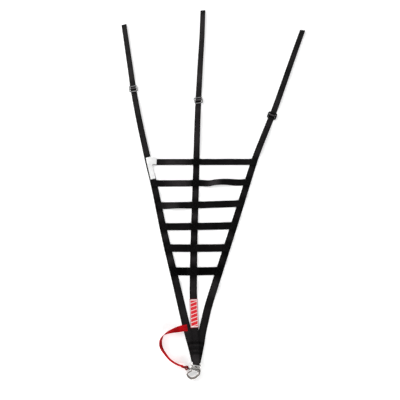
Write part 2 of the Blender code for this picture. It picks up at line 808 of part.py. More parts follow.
def lock_pin(parent):
    """Lock pin, its tip level with the slot's wall, with an eye for the ring outside."""
    tip = BODY_LEFT + SLOT_WALL
    far = PIN_EYE_X + PIN_EYE
    shaft = rod(PIN_RADIUS, tip - far, "x", 12)
    place = ((tip + far) / 2, PIN_Y, SHACKLE_MID)
    pin = add_object("shackle_lock_pin", shaft, "bright_metal", parent, place, smooth=True)
    steps = 16
    circle = [turned(Vector((PIN_EYE, 0.0, 0.0)), 360.0 * step / steps) for step in range(steps)]
    eye = tube(circle, PIN_EYE_WIRE / 2, closed=True)
    eye_place = (PIN_EYE_X, PIN_Y, SHACKLE_MID)
    boolean(pin, add_tool("shackle_pin_eye", eye, parent, eye_place), "UNION")
    return pin


def ring_centre():
    """Plan place of the pull ring's middle: it stands on edge and hangs on the pin's eye."""
    drop = RING_RADIUS + RING_WIRE / 2 - SHACKLE_MID
    reach = math.sqrt(RING_RADIUS ** 2 - drop ** 2)
    eye = shackle_to_plan(PIN_EYE_X, PIN_Y)
    return eye - turned(Vector((reach, 0.0, 0.0)), RING_TURN)


def pull_ring(parent):
    """Ring of thin wire standing on its edge."""
    centre = ring_centre()
    place = (centre.x, centre.y, RING_RADIUS + RING_WIRE / 2)
    frame = add_empty("pull_ring_place", place, RING_TURN, parent)
    circle = []
    steps = 24
    for step in range(steps):
        angle = math.tau * step / steps
        circle.append(Vector((RING_RADIUS * math.cos(angle), 0.0, RING_RADIUS * math.sin(angle))))
    ring = tube(circle, RING_WIRE / 2, closed=True, normal=(0.0, 1.0, 0.0))
    return add_object("shackle_pull_ring", ring, "bright_metal", frame, smooth=True)


def pull_fold():
    """Rows of the pull strap's turn through the ring: a half circle beside its middle."""
    centre = ring_centre()
    ahead = turned(Vector((1.0, 0.0, 0.0)), RING_TURN)
    square = turned(ahead, 90.0)
    middle = centre + ahead * (PULL_FOLD_AHEAD - PULL_FOLD_RADIUS)
    lift = RING_RADIUS + RING_WIRE / 2 - PULL_FOLD_WIDE / 2
    rows = []
    steps = 6
    for step in range(steps + 1):
        angle = math.radians(90.0 - 180.0 * step / steps)
        spoke = ahead * math.cos(angle) + square * math.sin(angle)
        point = middle + spoke * PULL_FOLD_RADIUS
        rows.append((point.x, point.y, 90.0, PULL_FOLD_WIDE, lift))
    return rows


def pull_strap(parent):
    """Red pull strap: sewn flat on the left strap, turned on edge, folded through the ring."""
    rows = curve_through([*PULL_ROUTE, *pull_fold(), *PULL_TAIL], 3)
    route = []
    for index, (x, y, roll, width, lift) in enumerate(rows):
        before = rows[max(index - 1, 0)]
        after = rows[min(index + 1, len(rows) - 1)]
        way = Vector((after[0] - before[0], after[1] - before[1], 0.0)).normalized()
        lean = math.radians(roll)
        z = max(lift, 0.0) + width / 2 * math.sin(lean) + PULL_THICK / 2 * abs(math.cos(lean)) + PULL_FREE
        route.append((Vector((x, y, z)), way, turned(way, 90.0), width, roll))
    stations = []
    for middle, way, across, width, roll in route:
        lean = math.radians(roll)
        side = (across * math.cos(lean) + Vector((0.0, 0.0, 1.0)) * math.sin(lean)) * (width / 2)
        stations.append((middle, side, way.cross(side).normalized() * (PULL_THICK / 2)))
    return band("pull_strap", stations, "red_webbing", parent)


def build():
    clear_scene()
    origin = add_empty("net_origin", (-FOOTPRINT_MIDDLE[0], -FOOTPRINT_MIDDLE[1], 0.0), 0.0, None)
    side_strap("strap_left", LEFT_PLAN, [], origin)
    side_strap("strap_right", RIGHT_PLAN, RIGHT_CLIMBS, origin)
    centre_strap(origin)
    for name, y_left, y_centre, y_right in RIBBONS:
        ribbon(name, y_left, y_centre, y_right, origin)
    for name, _strap, x, y, turn, *_hump in GLIDES:
        make = plastic_glide if name == "glide_right" else wire_glide
        make(name, x, y, turn, origin)
    plain_label(origin)
    striped_label(origin)
    pull_strap(origin)
    pull_ring(origin)
    shackle = add_empty("shackle_place", (*SHACKLE_PLACE, 0.0), SHACKLE_TURN, origin)
    shackle_bail(shackle)
    shackle_body(shackle)
    shackle_jaw(shackle)
    shackle_rivet(shackle)
    lock_pin(shackle)


build()
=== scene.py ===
"""Looks of the driver window net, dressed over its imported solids.

The plan is the one that the solids were drawn from: millimetres, from a spot on the
floor below the camera. A point of the plan becomes a world point when a mesh is made.
"""

import math

import bmesh
import bpy
from mathutils import Matrix, Vector, noise


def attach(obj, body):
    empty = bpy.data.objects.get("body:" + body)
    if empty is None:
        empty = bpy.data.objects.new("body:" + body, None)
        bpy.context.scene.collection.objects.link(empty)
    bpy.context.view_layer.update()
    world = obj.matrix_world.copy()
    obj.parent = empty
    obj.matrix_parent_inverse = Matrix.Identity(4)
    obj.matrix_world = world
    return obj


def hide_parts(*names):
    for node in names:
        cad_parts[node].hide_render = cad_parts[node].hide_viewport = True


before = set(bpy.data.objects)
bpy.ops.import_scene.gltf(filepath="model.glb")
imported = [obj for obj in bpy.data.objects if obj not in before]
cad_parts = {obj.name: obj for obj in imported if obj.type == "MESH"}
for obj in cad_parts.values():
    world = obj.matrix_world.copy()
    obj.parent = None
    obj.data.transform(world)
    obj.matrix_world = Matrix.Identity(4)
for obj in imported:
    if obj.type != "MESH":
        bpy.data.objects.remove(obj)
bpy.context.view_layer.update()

MM = 0.001
ORIGIN = Vector((-61.7, -599.8, 0.0))
NET = "net"
JAW = "jaw"
EAST = Vector((1.0, 0.0, 0.0))
NORTH = Vector((0.0, 1.0, 0.0))
UP = Vector((0.0, 0.0, 1.0))

# Sizes of the webbing and its layers
STRAP_WIDTH = 25.0
RIBBON_WIDTH = 27.5
WEB_THICK = 1.4
GAP = 0.3
LAYER = WEB_THICK + GAP
LABEL_THICK = 0.6

# Upright straps: plan of the middle line, top end first
LEFT_PLAN = [
    # y, x
    (1295.0, -369.0), (989.0, -308.0), (903.0, -291.0), (733.0, -251.5),
    (545.0, -202.5), (434.0, -171.5), (247.0, -125.0), (83.0, -79.5),
    (-29.0, -48.9), (-82.0, -32.7), (-115.0, -22.3), (-150.0, -12.4),
]
CENTRE_PLAN = [
    # y, x
    (1394.0, 14.5), (1209.0, 9.0), (1060.0, 2.0), (841.0, -7.0),
    (674.0, -11.9), (484.0, -15.3), (247.0, -20.8), (83.0, -22.4),
    (35.0, -21.4), (-52.0, -17.0), (-94.0, -14.0), (-150.0, -12.0),
]
RIGHT_PLAN = [
    # y, x
    (1257.0, 493.0), (1096.0, 431.0), (824.0, 327.5), (762.0, 302.0), (590.0, 229.5),
    (510.0, 200.0), (314.0, 132.5), (163.0, 79.5), (26.0, 31.8), (-29.0, 16.3),
    (-64.0, 7.6), (-99.0, 1.0), (-132.0, -6.5), (-150.0, -11.2),
]

# Cross ribbons: height of the middle line at the left, centre and right strap
RIBBONS = [
    # name, y_left, y_centre, y_right
    ("ribbon_1", 544.0, 544.3, 544.7),
    ("ribbon_2", 452.0, 453.0, 457.0),
    ("ribbon_3", 361.5, 364.3, 371.0),
    ("ribbon_4", 281.3, 282.0, 285.5),
    ("ribbon_5", 204.3, 203.4, 205.0),
    ("ribbon_6", 124.3, 123.8, 125.8),
]
# Tone of each ribbon between the straps, where the straps' own is 1, and over the middle strap. Between the
# straps it is painted sheen: paler in the far rows, where the light skims the cloth, and darkest in the
# nearest row
RIBBON_TONES = {
    "ribbon_1": (0.5, 0.15),
    "ribbon_2": (0.38, 0.12),
    "ribbon_3": (0.38, 0.24),
    "ribbon_4": (0.38, 0.22),
    "ribbon_5": (0.34, 0.34),
    "ribbon_6": (0.06, 0.2),
}
# Stretches of the slack ribbons that are paler by a painted sheen highlight, where they lean towards the
# light, and by how much in the middle of the stretch
PAINTED_SHEENS = [
    # name, x_start, x_end, gain
    ("ribbon_1", -166.0, -30.0, 1.1),
    ("ribbon_2", -146.0, -28.0, 1.9),
    ("ribbon_2", 12.0, 86.0, 1.8),
    ("ribbon_3", -160.0, -66.0, 1.5),
]
# Stretches where a slack ribbon leans: positive lifts its lower edge
CURLS = [
    # name, x_start, x_end, lean in degrees
    ("ribbon_1", -188.0, -26.0, 4.0),
    ("ribbon_2", -160.0, -30.0, 4.0),
    ("ribbon_2", -2.0, 122.0, 21.0),
    ("ribbon_3", -137.0, -36.0, 23.0),
    ("ribbon_4", -118.0, -36.0, 3.0),
    ("ribbon_4", -6.0, 88.0, 2.5),
]
# Stretches where a slack ribbon wanders up or down
WANDERS = [
    # name, x_start, x_end, shift
    ("ribbon_2", 10.0, 52.0, -2.0),
    ("ribbon_2", 40.0, 140.0, 3.6),
]
# Share of those leans that the cloth shows
CURL_EASE = 0.45
RIBBON_RAMP = 11.0
RIBBON_MARGIN = 2.0

# Layers in the point: where a strap climbs over the ones below it
RIGHT_CLIMBS = [
    # y_start, y_end, rise
    (-68.0, -94.0, LAYER),
]
CENTRE_CLIMBS = [
    # y_start, y_end, rise
    (-16.0, -44.0, LAYER),
    (-60.0, -86.0, LAYER),
]
SIDE_STRAP_END = -150.0
FLAP_END = -94.0
FLAP_REST = -124.0

# Slide adjusters
GLIDE_WIDE = 38.0
GLIDE_TALL = 32.0
GLIDE_WIRE = 4.0
GLIDE_CORNER = 6.0
GLIDE_BAR = 3.88
PLASTIC_WIDE = 39.0
PLASTIC_TALL = 33.0
PLASTIC_THICK = 3.6
PLASTIC_CORNER = 8.0
PLASTIC_SLOT_WIDE = 26.2
PLASTIC_SLOT_TALL = 9.5
PLASTIC_SLOT_CORNER = 2.0
PLASTIC_BAR = 4.5
PLASTIC_RIM = 1.7
PLASTIC_SUNK = 0.5
ADJUSTER_HOLD = 2.0
ADJUSTER_FADE = 20.0
WIRE_REACH = (GLIDE_TALL - GLIDE_WIRE) / 2
PLASTIC_REACH = PLASTIC_BAR / 2 + PLASTIC_SLOT_TALL - GAP
GLIDES = [
    # name, strap, x, y, turn in degrees, bar height, flat, reach
    ("glide_left", "strap_left", -291.0, 903.0, 12.0, GLIDE_WIRE, 0.0, WIRE_REACH),
    ("glide_centre", "strap_centre", -7.0, 841.0, 12.0, GLIDE_WIRE, 0.0, WIRE_REACH),
    ("glide_right", "strap_right", 302.0, 762.0, -21.5, PLASTIC_THICK, 2.7, PLASTIC_REACH),
]

# Labels
PLAIN_STRIP = [
    # y, x, height of the underside
    (564.0, -204.6, 2 * LAYER), (528.0, -195.2, 2 * LAYER),
    (512.0, -190.7, LAYER), (470.5, -179.7, LAYER),
]
PLAIN_STRIP_WIDE = 19.2
PLAIN_FLAP = [
    # x, y, height of the underside
    (-205.0, 547.5, 2 * LAYER + 0.5),
    (-188.0, 548.0, 2 * LAYER + 0.5),
    (-170.0, 548.5, LAYER + 0.9),
]
PLAIN_FLAP_WIDE = 33.0
STRIPED_TOP = 35.0
STRIPED_BOTTOM = -52.0
STRIPED_WIDE = 27.0

# Snap shackle, in its own frame: x along the body, y towards the webbing
SHACKLE_PLACE = (-15.5, -166.0)
SHACKLE_TURN = -8.0
SHACKLE_MID = 4.9
BAIL_SHIFT = 2.0
BAIL_HALF = 13.0
BAIL_BASE = 6.0
BAIL_TOP = 13.6
BAIL_RISE = 2.2
BAIL_WIRE = 4.0
BAIL_CORNER = 3.4
BAIL_BOSS = (13.0, 4.4, 7.6)
BOSS_EDGE = 1.1
POST_RADIUS = 2.0
POST_PROFILE = [
    # distance, radius
    (-2.4, 2.9), (-1.4, 2.9), (-0.7, POST_RADIUS), (4.7, POST_RADIUS), (5.1, 1.5),
]
BODY_LEFT = -13.2
BODY_RIGHT = 8.4
BODY_LOW = -4.8
BODY_HIGH = 3.4
BODY_TALL = 9.2
BODY_EDGE = 1.6
EARS_TALL = 9.8
EAR_THICK = 2.1
EAR_RADIUS = 5.2
EAR_ROOT = 4.0
EAR_STEP = 1.8
EAR_ARC = (-110.0, 90.0)
PIVOT = (13.0, -2.8)
RIVET_RADIUS = 1.7
RIVET_PROFILE = [
    # height, radius
    (0.2, 1.2), (0.35, RIVET_RADIUS), (10.0, RIVET_RADIUS), (10.12, 2.9), (10.3, 3.0),
    (10.55, 2.85), (10.8, 2.3), (10.95, 1.3), (11.0, 0.3),
]
JAW_EYE = 4.4
JAW_ROUTE = [
    # x, y, radius
    (14.6, -5.6, 2.3), (15.6, -9.0, 2.5), (13.2, -13.8, 2.8), (9.1, -17.7, 3.0),
    (4.0, -22.6, 3.2), (-3.7, -26.4, 3.25), (-12.0, -25.3, 3.1), (-17.5, -22.0, 2.7),
    (-21.0, -17.6, 2.2), (-18.6, -13.4, 2.0), (-13.6, -9.6, 1.9), (-9.4, -6.6, 1.9),
]
TANG = (-9.0, -4.4)
TANG_SIZE = (3.8, 6.0, 4.6)
TANG_EDGE = 0.5
SLOT_WALL = 1.8
SLOT_WIDE = 5.0
SLOT_TALL = 5.6
SLOT_TOP = -0.5
SLOT_DEEP = 12.0
PIN_Y = -2.4
PIN_RADIUS = 1.2
PIN_COLLAR = 1.35
PIN_TIP = 1.1
PIN_EYE_X = -17.0
PIN_EYE = 2.5
PIN_EYE_WIRE = 1.6
RING_RADIUS = 7.5
RING_WIRE = 1.6
RING_TURN = -16.6

# Red pull strap: middle line, roll onto its edge, width and lift of its low edge
PULL_WIDE = 19.0
PULL_THICK = 1.4
PULL_FREE = 0.05
PULL_ROUTE = [
    # x, y, roll, width, lift
    (-40.5, -51.6, 0.0, 19.0, LAYER), (-50.0, -52.8, 0.0, 19.0, LAYER),
    (-60.0, -54.4, 9.0, 19.0, LAYER), (-72.0, -56.8, 31.0, 19.0, 0.4),
    (-87.0, -60.6, 53.0, 19.0, 0.0), (-101.5, -65.6, 71.0, 19.0, 0.0),
    (-115.0, -74.2, 92.0, 19.0, 0.0), (-122.2, -88.0, 108.0, 19.0, 0.0),
    (-121.6, -102.0, 111.0, 19.0, 0.0), (-114.6, -115.8, 104.0, 19.0, 0.0),
    (-96.8, -136.2, 97.0, 19.0, 0.0), (-82.4, -147.0, 95.0, 19.0, 0.0),
    (-68.0, -154.0, 94.0, 18.6, 0.2), (-57.0, -157.3, 97.0, 15.0, 1.0),
    (-51.6, -158.6, 95.0, 13.2, 1.8), (-47.2, -159.9, 93.0, 12.0, 2.4),
]
# The pull strap's turn through the ring
PULL_FOLD_RADIUS = 3.6
PULL_FOLD_ROLL = 124.0
PULL_FOLD_WIDE = 9.0
PULL_FOLD_AHEAD = 1.9
# The pull strap's end, folded back and sewn on itself
PULL_TAIL = [
    # x, y, roll, width, lift
    (-48.2, -163.2, 93.0, 12.0, 2.4),
    (-52.9, -161.4, 90.0, 12.6, 2.1),
    (-58.0, -159.4, 90.0, 13.5, 1.7),
]

# A quarter of a cross-section: out along half the width, up along half the thickness
WEB_QUARTER = [
    # out, up
    (0.0, 0.86), (0.3, 0.88), (0.6, 0.86), (0.84, 0.88),
    (0.91, 1.0), (0.96, 0.9), (0.988, 0.5), (1.0, 0.0),
]
LABEL_QUARTER = [
    # out, up
    (0.0, 1.0), (0.35, 1.0), (0.7, 1.0),
    (0.93, 1.0), (0.99, 0.75), (1.0, 0.0),
]
# Height of the thread on webbing, as a share of its thickness
TOP_OF_WEB = 0.93


# Camera, light and floor

CAMERA_PLACE = (-0.0617, -0.5998, 1.008)
CAMERA_TILT = 20.9
CAMERA_SENSOR = 36.0
CAMERA_LENS = 26.0


def new_object(name, data):
    made = bpy.data.objects.new(name, data)
    bpy.context.scene.collection.objects.link(made)
    return made


def new_mesh_object(name, shape):
    """An object from a bmesh, which is used up."""
    mesh = bpy.data.meshes.new(name)
    shape.to_mesh(mesh)
    shape.free()
    return new_object(name, mesh)


def set_camera():
    data = bpy.data.cameras.new("camera")
    data.sensor_width = CAMERA_SENSOR
    data.lens = CAMERA_LENS
    camera = new_object("camera", data)
    camera.location = CAMERA_PLACE
    camera.rotation_euler = (math.radians(CAMERA_TILT), 0.0, 0.0)
    bpy.context.scene.camera = camera


# Large soft lights: the key stands low on the left, and the rear one skims the cloth
LIGHTS = [
    # name, x, y, z, size, power
    ("key", -6.7, 3.1, 2.2, 4.0, 560.0),
    ("rear", -1.2, 7.0, 4.6, 3.6, 140.0),
    ("front", 0.5, -7.0, 2.2, 3.4, 330.0),
]
# The studio is dim overhead and brighter lower down: height of a direction, and strength
SKY_HIGH = (0.9, 0.1)
SKY_LOW = (0.5, 0.62)
# It is white up to the first height, and that white is gone by the second
RIM = (0.28, 0.42)
# The white sweep glows evenly, as if lit from below as well, and a painted pool of light in that glow
# brightens it under the red loop, where the loop's shadow falls
FLOOR_HALF = 6.0
FLOOR_DROP = 0.0003
FLOOR_GLOW = 0.34
LOOP_PAINTED_LIGHT = 0.3
LOOP_MIDDLE = (-98.0, -109.0)
LOOP_REACH = (50.0, 62.0)


def set_lights():
    world = bpy.data.worlds.new("studio")
    world.use_nodes = True
    tree = world.node_tree
    background = tree.nodes["Background"]
    background.inputs["Color"].default_value = (1.0, 1.0, 1.0, 1.0)
    direction = add_node(tree, "TexCoord").outputs["Generated"]
    height = add_node(tree, "SeparateXYZ", [(0, direction)]).outputs[2]
    sky = ramp(tree, height, SKY_LOW[1], SKY_HIGH[1], SKY_LOW[0], SKY_HIGH[0])
    rim = ramp(tree, height, 1.0, 0.0, *RIM)
    tree.links.new(maths(tree, "MAXIMUM", sky, rim), background.inputs["Strength"])
    bpy.context.scene.world = world
    for name, x, y, z, size, power in LIGHTS:
        data = bpy.data.lights.new(name, "AREA")
        data.shape = "DISK"
        data.size = size
        data.energy = power
        light = new_object(name, data)
        light.location = (x, y, z)
        light.rotation_euler = Vector((-x, -y, -z)).to_track_quat("-Z", "Y").to_euler()
    bpy.context.scene.view_settings.view_transform = "Standard"


def set_floor():
    shape = bmesh.new()
    bmesh.ops.create_grid(shape, x_segments=1, y_segments=1, size=FLOOR_HALF)
    floor = new_mesh_object("floor", shape)
    floor.location.z = -FLOOR_DROP
    floor.data.materials.append(floor_look())


# Materials

def new_look(name, colour, roughness, **inputs):
    """A material with its constant values set on the shader."""
    made = bpy.data.materials.new(name)
    made.use_nodes = True
    shader = made.node_tree.nodes["Principled BSDF"]
    shader.inputs["Base Color"].default_value = (*colour, 1.0)
    shader.inputs["Roughness"].default_value = roughness
    for key, value in inputs.items():
        shader.inputs[key.replace("_", " ")].default_value = value
    return made, made.node_tree, shader


def add_node(tree, kind, inputs=(), **settings):
    """A shader node. inputs are pairs of a socket's name or number and a value or a socket."""
    made = tree.nodes.new("ShaderNode" + kind)
    for key, value in settings.items():
        setattr(made, key, value)
    for key, value in inputs:
        if isinstance(value, bpy.types.NodeSocket):
            tree.links.new(value, made.inputs[key])
        else:
            made.inputs[key].default_value = value
    return made


def maths(tree, operation, *values):
    made = add_node(tree, "Math", list(enumerate(values)), operation=operation)
    return made.outputs[0]


def rough_noise(tree, scale, detail=3.0, roughness=0.5):
    """Noise in object space, from about 0 to 1."""
    place = add_node(tree, "TexCoord").outputs["Object"]
    made = add_node(
        tree,
        "TexNoise",
        [("Vector", place), ("Scale", scale), ("Detail", detail), ("Roughness", roughness)],
    )
    return made.outputs["Fac"]


def ramp(tree, factor, low, high, start=0.0, stop=1.0):
    """A value or colour from low to high as the factor goes from start to stop."""
    if isinstance(low, tuple):
        return mixed(tree, ramp(tree, factor, 0.0, 1.0, start, stop), low, high)
    made = add_node(
        tree,
        "MapRange",
        [("Value", factor), ("From Min", start), ("From Max", stop), ("To Min", low), ("To Max", high)],
    )
    return made.outputs["Result"]


def mixed(tree, share, low, high):
    """A colour between two, which are plain colours or sockets."""
    low, high = [(*colour, 1.0) if isinstance(colour, tuple) else colour for colour in (low, high)]
    return add_node(tree, "Mix", [(0, share), (6, low), (7, high)], data_type="RGBA").outputs[2]


def wave(tree, value, pitch):
    return maths(tree, "SINE", maths(tree, "MULTIPLY", value, math.tau / pitch))


def set_base(tree, shader, colour, tone=None):
    """The base colour, times the tone that the mesh carries where one is given."""
    if tone is not None:
        colour = add_node(tree, "VectorMath", [(0, colour), (3, tone)], operation="SCALE").outputs[0]
    tree.links.new(colour, shader.inputs["Base Color"])


def set_rough(tree, shader, factor, low, high, start=0.3, stop=0.7):
    tree.links.new(ramp(tree, factor, low, high, start, stop), shader.inputs["Roughness"])


def bump(tree, shader, height, distance, strength=1.0):
    made = add_node(tree, "Bump", [("Height", height), ("Distance", distance), ("Strength", strength)])
    tree.links.new(made.outputs["Normal"], shader.inputs["Normal"])


def cloth_place(tree):
    """Millimetres across and along the cloth, and its tone, from the mesh."""
    place = add_node(tree, "Attribute", attribute_name="cloth")
    parts = add_node(tree, "SeparateXYZ", [(0, place.outputs["Vector"])])
    return parts.outputs[0], parts.outputs[1], parts.outputs[2]


# Weave of the webbing and of the labels
RIB_TURN = 3.1
RIB_SLANT = 0.8
RIB_PITCH = 1.7
YARN_PITCH = 0.78
YARN_SHARE = 0.3
WARP_PITCH = 0.42
WEFT_PITCH = 0.5


def web_height(tree, across, along_it):
    """Herringbone webbing: slanting ribs that turn back every few millimetres, of plied yarns."""
    zigzag = maths(tree, "PINGPONG", across, RIB_TURN)
    rib = wave(tree, maths(tree, "MULTIPLY_ADD", zigzag, RIB_SLANT, along_it), RIB_PITCH)
    yarn = wave(tree, across, YARN_PITCH)
    return maths(tree, "MULTIPLY_ADD", maths(tree, "MULTIPLY", rib, yarn), YARN_SHARE, rib)


def web_look(name, dark, light, sheen, sheen_colour, roughness):
    """Woven webbing. Its ribs catch the light, and its tone drifts along the strap."""
    made, tree, shader = new_look(
        name, light, roughness, Sheen_Weight=sheen, Sheen_Roughness=0.35, Specular_IOR_Level=0.028
    )
    shader.inputs["Sheen Tint"].default_value = (*sheen_colour, 1.0)
    across, along_it, tone = cloth_place(tree)
    height = web_height(tree, across, along_it)
    fuzz = rough_noise(tree, 1400.0, 2.0)
    drift = rough_noise(tree, 22.0, 4.0)
    weave = ramp(tree, maths(tree, "MULTIPLY_ADD", fuzz, 0.8, height), dark, light, -1.0, 1.6)
    shade = maths(tree, "MULTIPLY", ramp(tree, drift, 0.72, 1.3, 0.3, 0.7), tone)
    set_base(tree, shader, weave, shade)
    set_rough(tree, shader, fuzz, roughness - 0.08, roughness + 0.1)
    bump(tree, shader, maths(tree, "MULTIPLY_ADD", fuzz, 0.5, height), 0.00009)
    return made


def thread_look(name, colour):
    made, tree, shader = new_look(name, colour, 0.5, Sheen_Weight=0.02, Specular_IOR_Level=0.1)
    twist = rough_noise(tree, 2600.0, 1.0)
    dark = tuple(value * 0.55 for value in colour)
    set_base(tree, shader, ramp(tree, twist, dark, colour, 0.35, 0.65))
    bump(tree, shader, twist, 0.00008)
    return made


def label_weave(tree, shader, across, along_it):
    """Fine plain weave of label cloth."""
    weave = maths(tree, "MULTIPLY", wave(tree, across, WARP_PITCH), wave(tree, along_it, WEFT_PITCH))
    bump(tree, shader, weave, 0.00004)


def plain_label_look():
    made, tree, shader = new_look("white_label_cloth", (0.8, 0.8, 0.8), 0.75, Sheen_Weight=0.15)
    across, along_it, tone = cloth_place(tree)
    label_weave(tree, shader, across, along_it)
    cloud = rough_noise(tree, 90.0, 3.0)
    white = ramp(tree, cloud, (0.9, 0.903, 0.906), (0.97, 0.97, 0.966), 0.3, 0.62)
    set_base(tree, shader, white, tone)
    return made


# Striped label: a dark red edge round a white ground with slanting red blocks. The edge is the printed
# border, made darker as painted shade at the label's sides
LABEL_WHITE = (0.88, 0.87, 0.87)
LABEL_RED = (0.78, 0.004, 0.014)
# Printed border red, darkened as painted shade at the label's sides
LABEL_DARK_RED = (0.3, 0.006, 0.014)
STRIPE_PITCH = 11.6
STRIPE_SHARE = 0.84
STRIPE_SLANT = 0.3
STRIPE_REACH = 10.4
STRIPE_MARGIN = 4.6
LABEL_EDGE = 1.7


def striped_label_look():
    made, tree, shader = new_look("striped_label_cloth", (0.8, 0.8, 0.8), 0.65, Sheen_Weight=0.15)
    across, along_it, tone = cloth_place(tree)
    label_weave(tree, shader, across, along_it)
    long = STRIPED_TOP - STRIPED_BOTTOM
    slanted = maths(tree, "MULTIPLY_ADD", across, STRIPE_SLANT, along_it)
    turn = maths(tree, "FRACT", maths(tree, "MULTIPLY", slanted, 1.0 / STRIPE_PITCH))
    bar = maths(tree, "LESS_THAN", turn, STRIPE_SHARE)
    from_middle = maths(tree, "ABSOLUTE", across)
    from_centre = maths(tree, "ABSOLUTE", maths(tree, "SUBTRACT", along_it, long / 2))
    inside = maths(
        tree,
        "MULTIPLY",
        maths(tree, "LESS_THAN", from_middle, STRIPE_REACH),
        maths(tree, "LESS_THAN", from_centre, long / 2 - STRIPE_MARGIN),
    )
    edge = maths(
        tree,
        "MAXIMUM",
        maths(tree, "GREATER_THAN", from_middle, STRIPED_WIDE / 2 - LABEL_EDGE),
        maths(tree, "GREATER_THAN", from_centre, long / 2 - LABEL_EDGE),
    )
    printed = mixed(tree, maths(tree, "MULTIPLY", bar, inside), LABEL_WHITE, LABEL_RED)
    set_base(tree, shader, mixed(tree, edge, printed, LABEL_DARK_RED), tone)
    return made


def metal_look(name, dark, light, smooth, rough):
    """Bright steel: fine polishing marks, and cloudy gloss and tone."""
    made, tree, shader = new_look(name, light, rough, Metallic=1.0)
    cloud = rough_noise(tree, 260.0, 4.0)
    fine = rough_noise(tree, 2200.0, 2.0, 0.6)
    place = add_node(tree, "TexCoord").outputs["Object"]
    stretched = add_node(tree, "Mapping", [("Vector", place), ("Scale", (400.0, 3600.0, 3600.0))])
    marks = add_node(tree, "TexNoise", [("Vector", stretched.outputs[0]), ("Scale", 1.0), ("Detail", 2.0)])
    set_base(tree, shader, ramp(tree, cloud, dark, light, 0.35, 0.6))
    gloss = maths(tree, "MULTIPLY_ADD", marks.outputs["Fac"], 0.4, cloud)
    set_rough(tree, shader, gloss, smooth, rough, 0.4, 1.0)
    bump(tree, shader, maths(tree, "ADD", fine, marks.outputs["Fac"]), 0.00002)
    return made


def plastic_look():
    dark, light = (0.003, 0.003, 0.003), (0.008, 0.008, 0.0085)
    made, tree, shader = new_look("black_moulded_plastic", dark, 0.5, Specular_IOR_Level=0.12)
    grain = rough_noise(tree, 1500.0, 2.0)
    cloud = rough_noise(tree, 120.0, 3.0)
    set_base(tree, shader, ramp(tree, cloud, dark, light))
    set_rough(tree, shader, cloud, 0.4, 0.6)
    bump(tree, shader, grain, 0.00004)
    return made


def floor_look():
    dark, light = (0.915, 0.915, 0.915), (0.925, 0.925, 0.925)
    made, tree, shader = new_look("white_floor", light, 0.9, Specular_IOR_Level=0.0)
    shader.inputs["Emission Color"].default_value = (1.0, 1.0, 1.0, 1.0)
    place = add_node(tree, "TexCoord").outputs["Object"]
    middle = (Vector((*LOOP_MIDDLE, 0.0)) + ORIGIN) * MM
    reach = (LOOP_REACH[0] * MM, LOOP_REACH[1] * MM, 1.0)
    spot = add_node(
        tree, "Mapping", [("Vector", place), ("Location", middle), ("Scale", reach)], vector_type="TEXTURE"
    )
    away = add_node(tree, "VectorMath", [(0, spot.outputs[0])], operation="LENGTH").outputs["Value"]
    # A painted pool of light: the glow is stronger in an oval under the red loop, to wash out its shadow
    glow = ramp(tree, away, FLOOR_GLOW + LOOP_PAINTED_LIGHT, FLOOR_GLOW, 0.45, 1.0)
    tree.links.new(glow, shader.inputs["Emission Strength"])
    cloud = rough_noise(tree, 1.5, 2.0)
    set_base(tree, shader, ramp(tree, cloud, dark, light))
    return made


BLACK_WEB = web_look(
    "black_web", (0.0038, 0.0034, 0.0036), (0.0236, 0.0212, 0.0222), 0.005, (0.9, 0.8, 0.83), 0.5
)
RED_WEB = web_look("red_web", (0.3, 0.002, 0.004), (0.58, 0.005, 0.009), 0.03, (1.0, 0.15, 0.15), 0.6)
BLACK_THREAD = thread_look("black_thread", (0.004, 0.004, 0.0042))
RED_THREAD = thread_look("red_thread", (0.5, 0.015, 0.03))
WHITE_LABEL = plain_label_look()
STRIPED_LABEL = striped_label_look()
STEEL = metal_look("satin_steel", (0.58, 0.56, 0.54), (0.92, 0.9, 0.88), 0.18, 0.4)
# A darker copy of the steel: painted shade on the jaw, the rivet and the lock pin
SHADED_STEEL = metal_look("steel_painted_shade", (0.2, 0.18, 0.165), (0.36, 0.33, 0.31), 0.25, 0.5)
WIRE_STEEL = metal_look("wire_steel", (0.12, 0.12, 0.12), (0.26, 0.26, 0.264), 0.25, 0.45)
PLASTIC = plastic_look()


# Shapes along curves

def ease(value, start, stop, full=1.0):
    """0 up to start, full from stop on, and smooth between; stop may be the lower of the two."""
    share = min(max((value - start) / (stop - start), 0.0), 1.0)
    return full * (share * share * (3.0 - 2.0 * share))


def turned(vector, degrees):
    """A plan vector turned counter-clockwise."""
    return Matrix.Rotation(math.radians(degrees), 3, "Z") @ vector


def arc(middle, right, up, radius, first, last, steps):
    """Points about a middle, from one angle to another in degrees, from right towards up."""
    points = []
    for step in range(steps + 1):
        angle = math.radians(first + (last - first) * step / steps)
        points.append(middle + (right * math.cos(angle) + up * math.sin(angle)) * radius)
    return points


def circle(middle, right, up, radius, sides, first=0.0):
    return arc(middle, right, up, radius, first, first + 360.0, sides)[:-1]


def curve_through(rows, count):
    """Catmull-Rom curve through rows of numbers, count points between neighbours."""
    first = [2 * a - b for a, b in zip(rows[0], rows[1])]
    last = [2 * a - b for a, b in zip(rows[-1], rows[-2])]
    knots = [first, *rows, last]
    points = []
    for before, start, stop, after in zip(knots, knots[1:], knots[2:], knots[3:]):
        for step in range(count):
            t = step / count
            point = []
            for a, b, c, d in zip(before, start, stop, after):
                cubic = -a + 3 * b - 3 * c + d
                square = 2 * a - 5 * b + 4 * c - d
                point.append(b + 0.5 * t * (c - a + t * (square + t * cubic)))
            points.append(point)
    points.append(list(rows[-1]))
    return points


LINES = {id(plan): curve_through(plan, count=12) for plan in (LEFT_PLAN, CENTRE_PLAN, RIGHT_PLAN)}


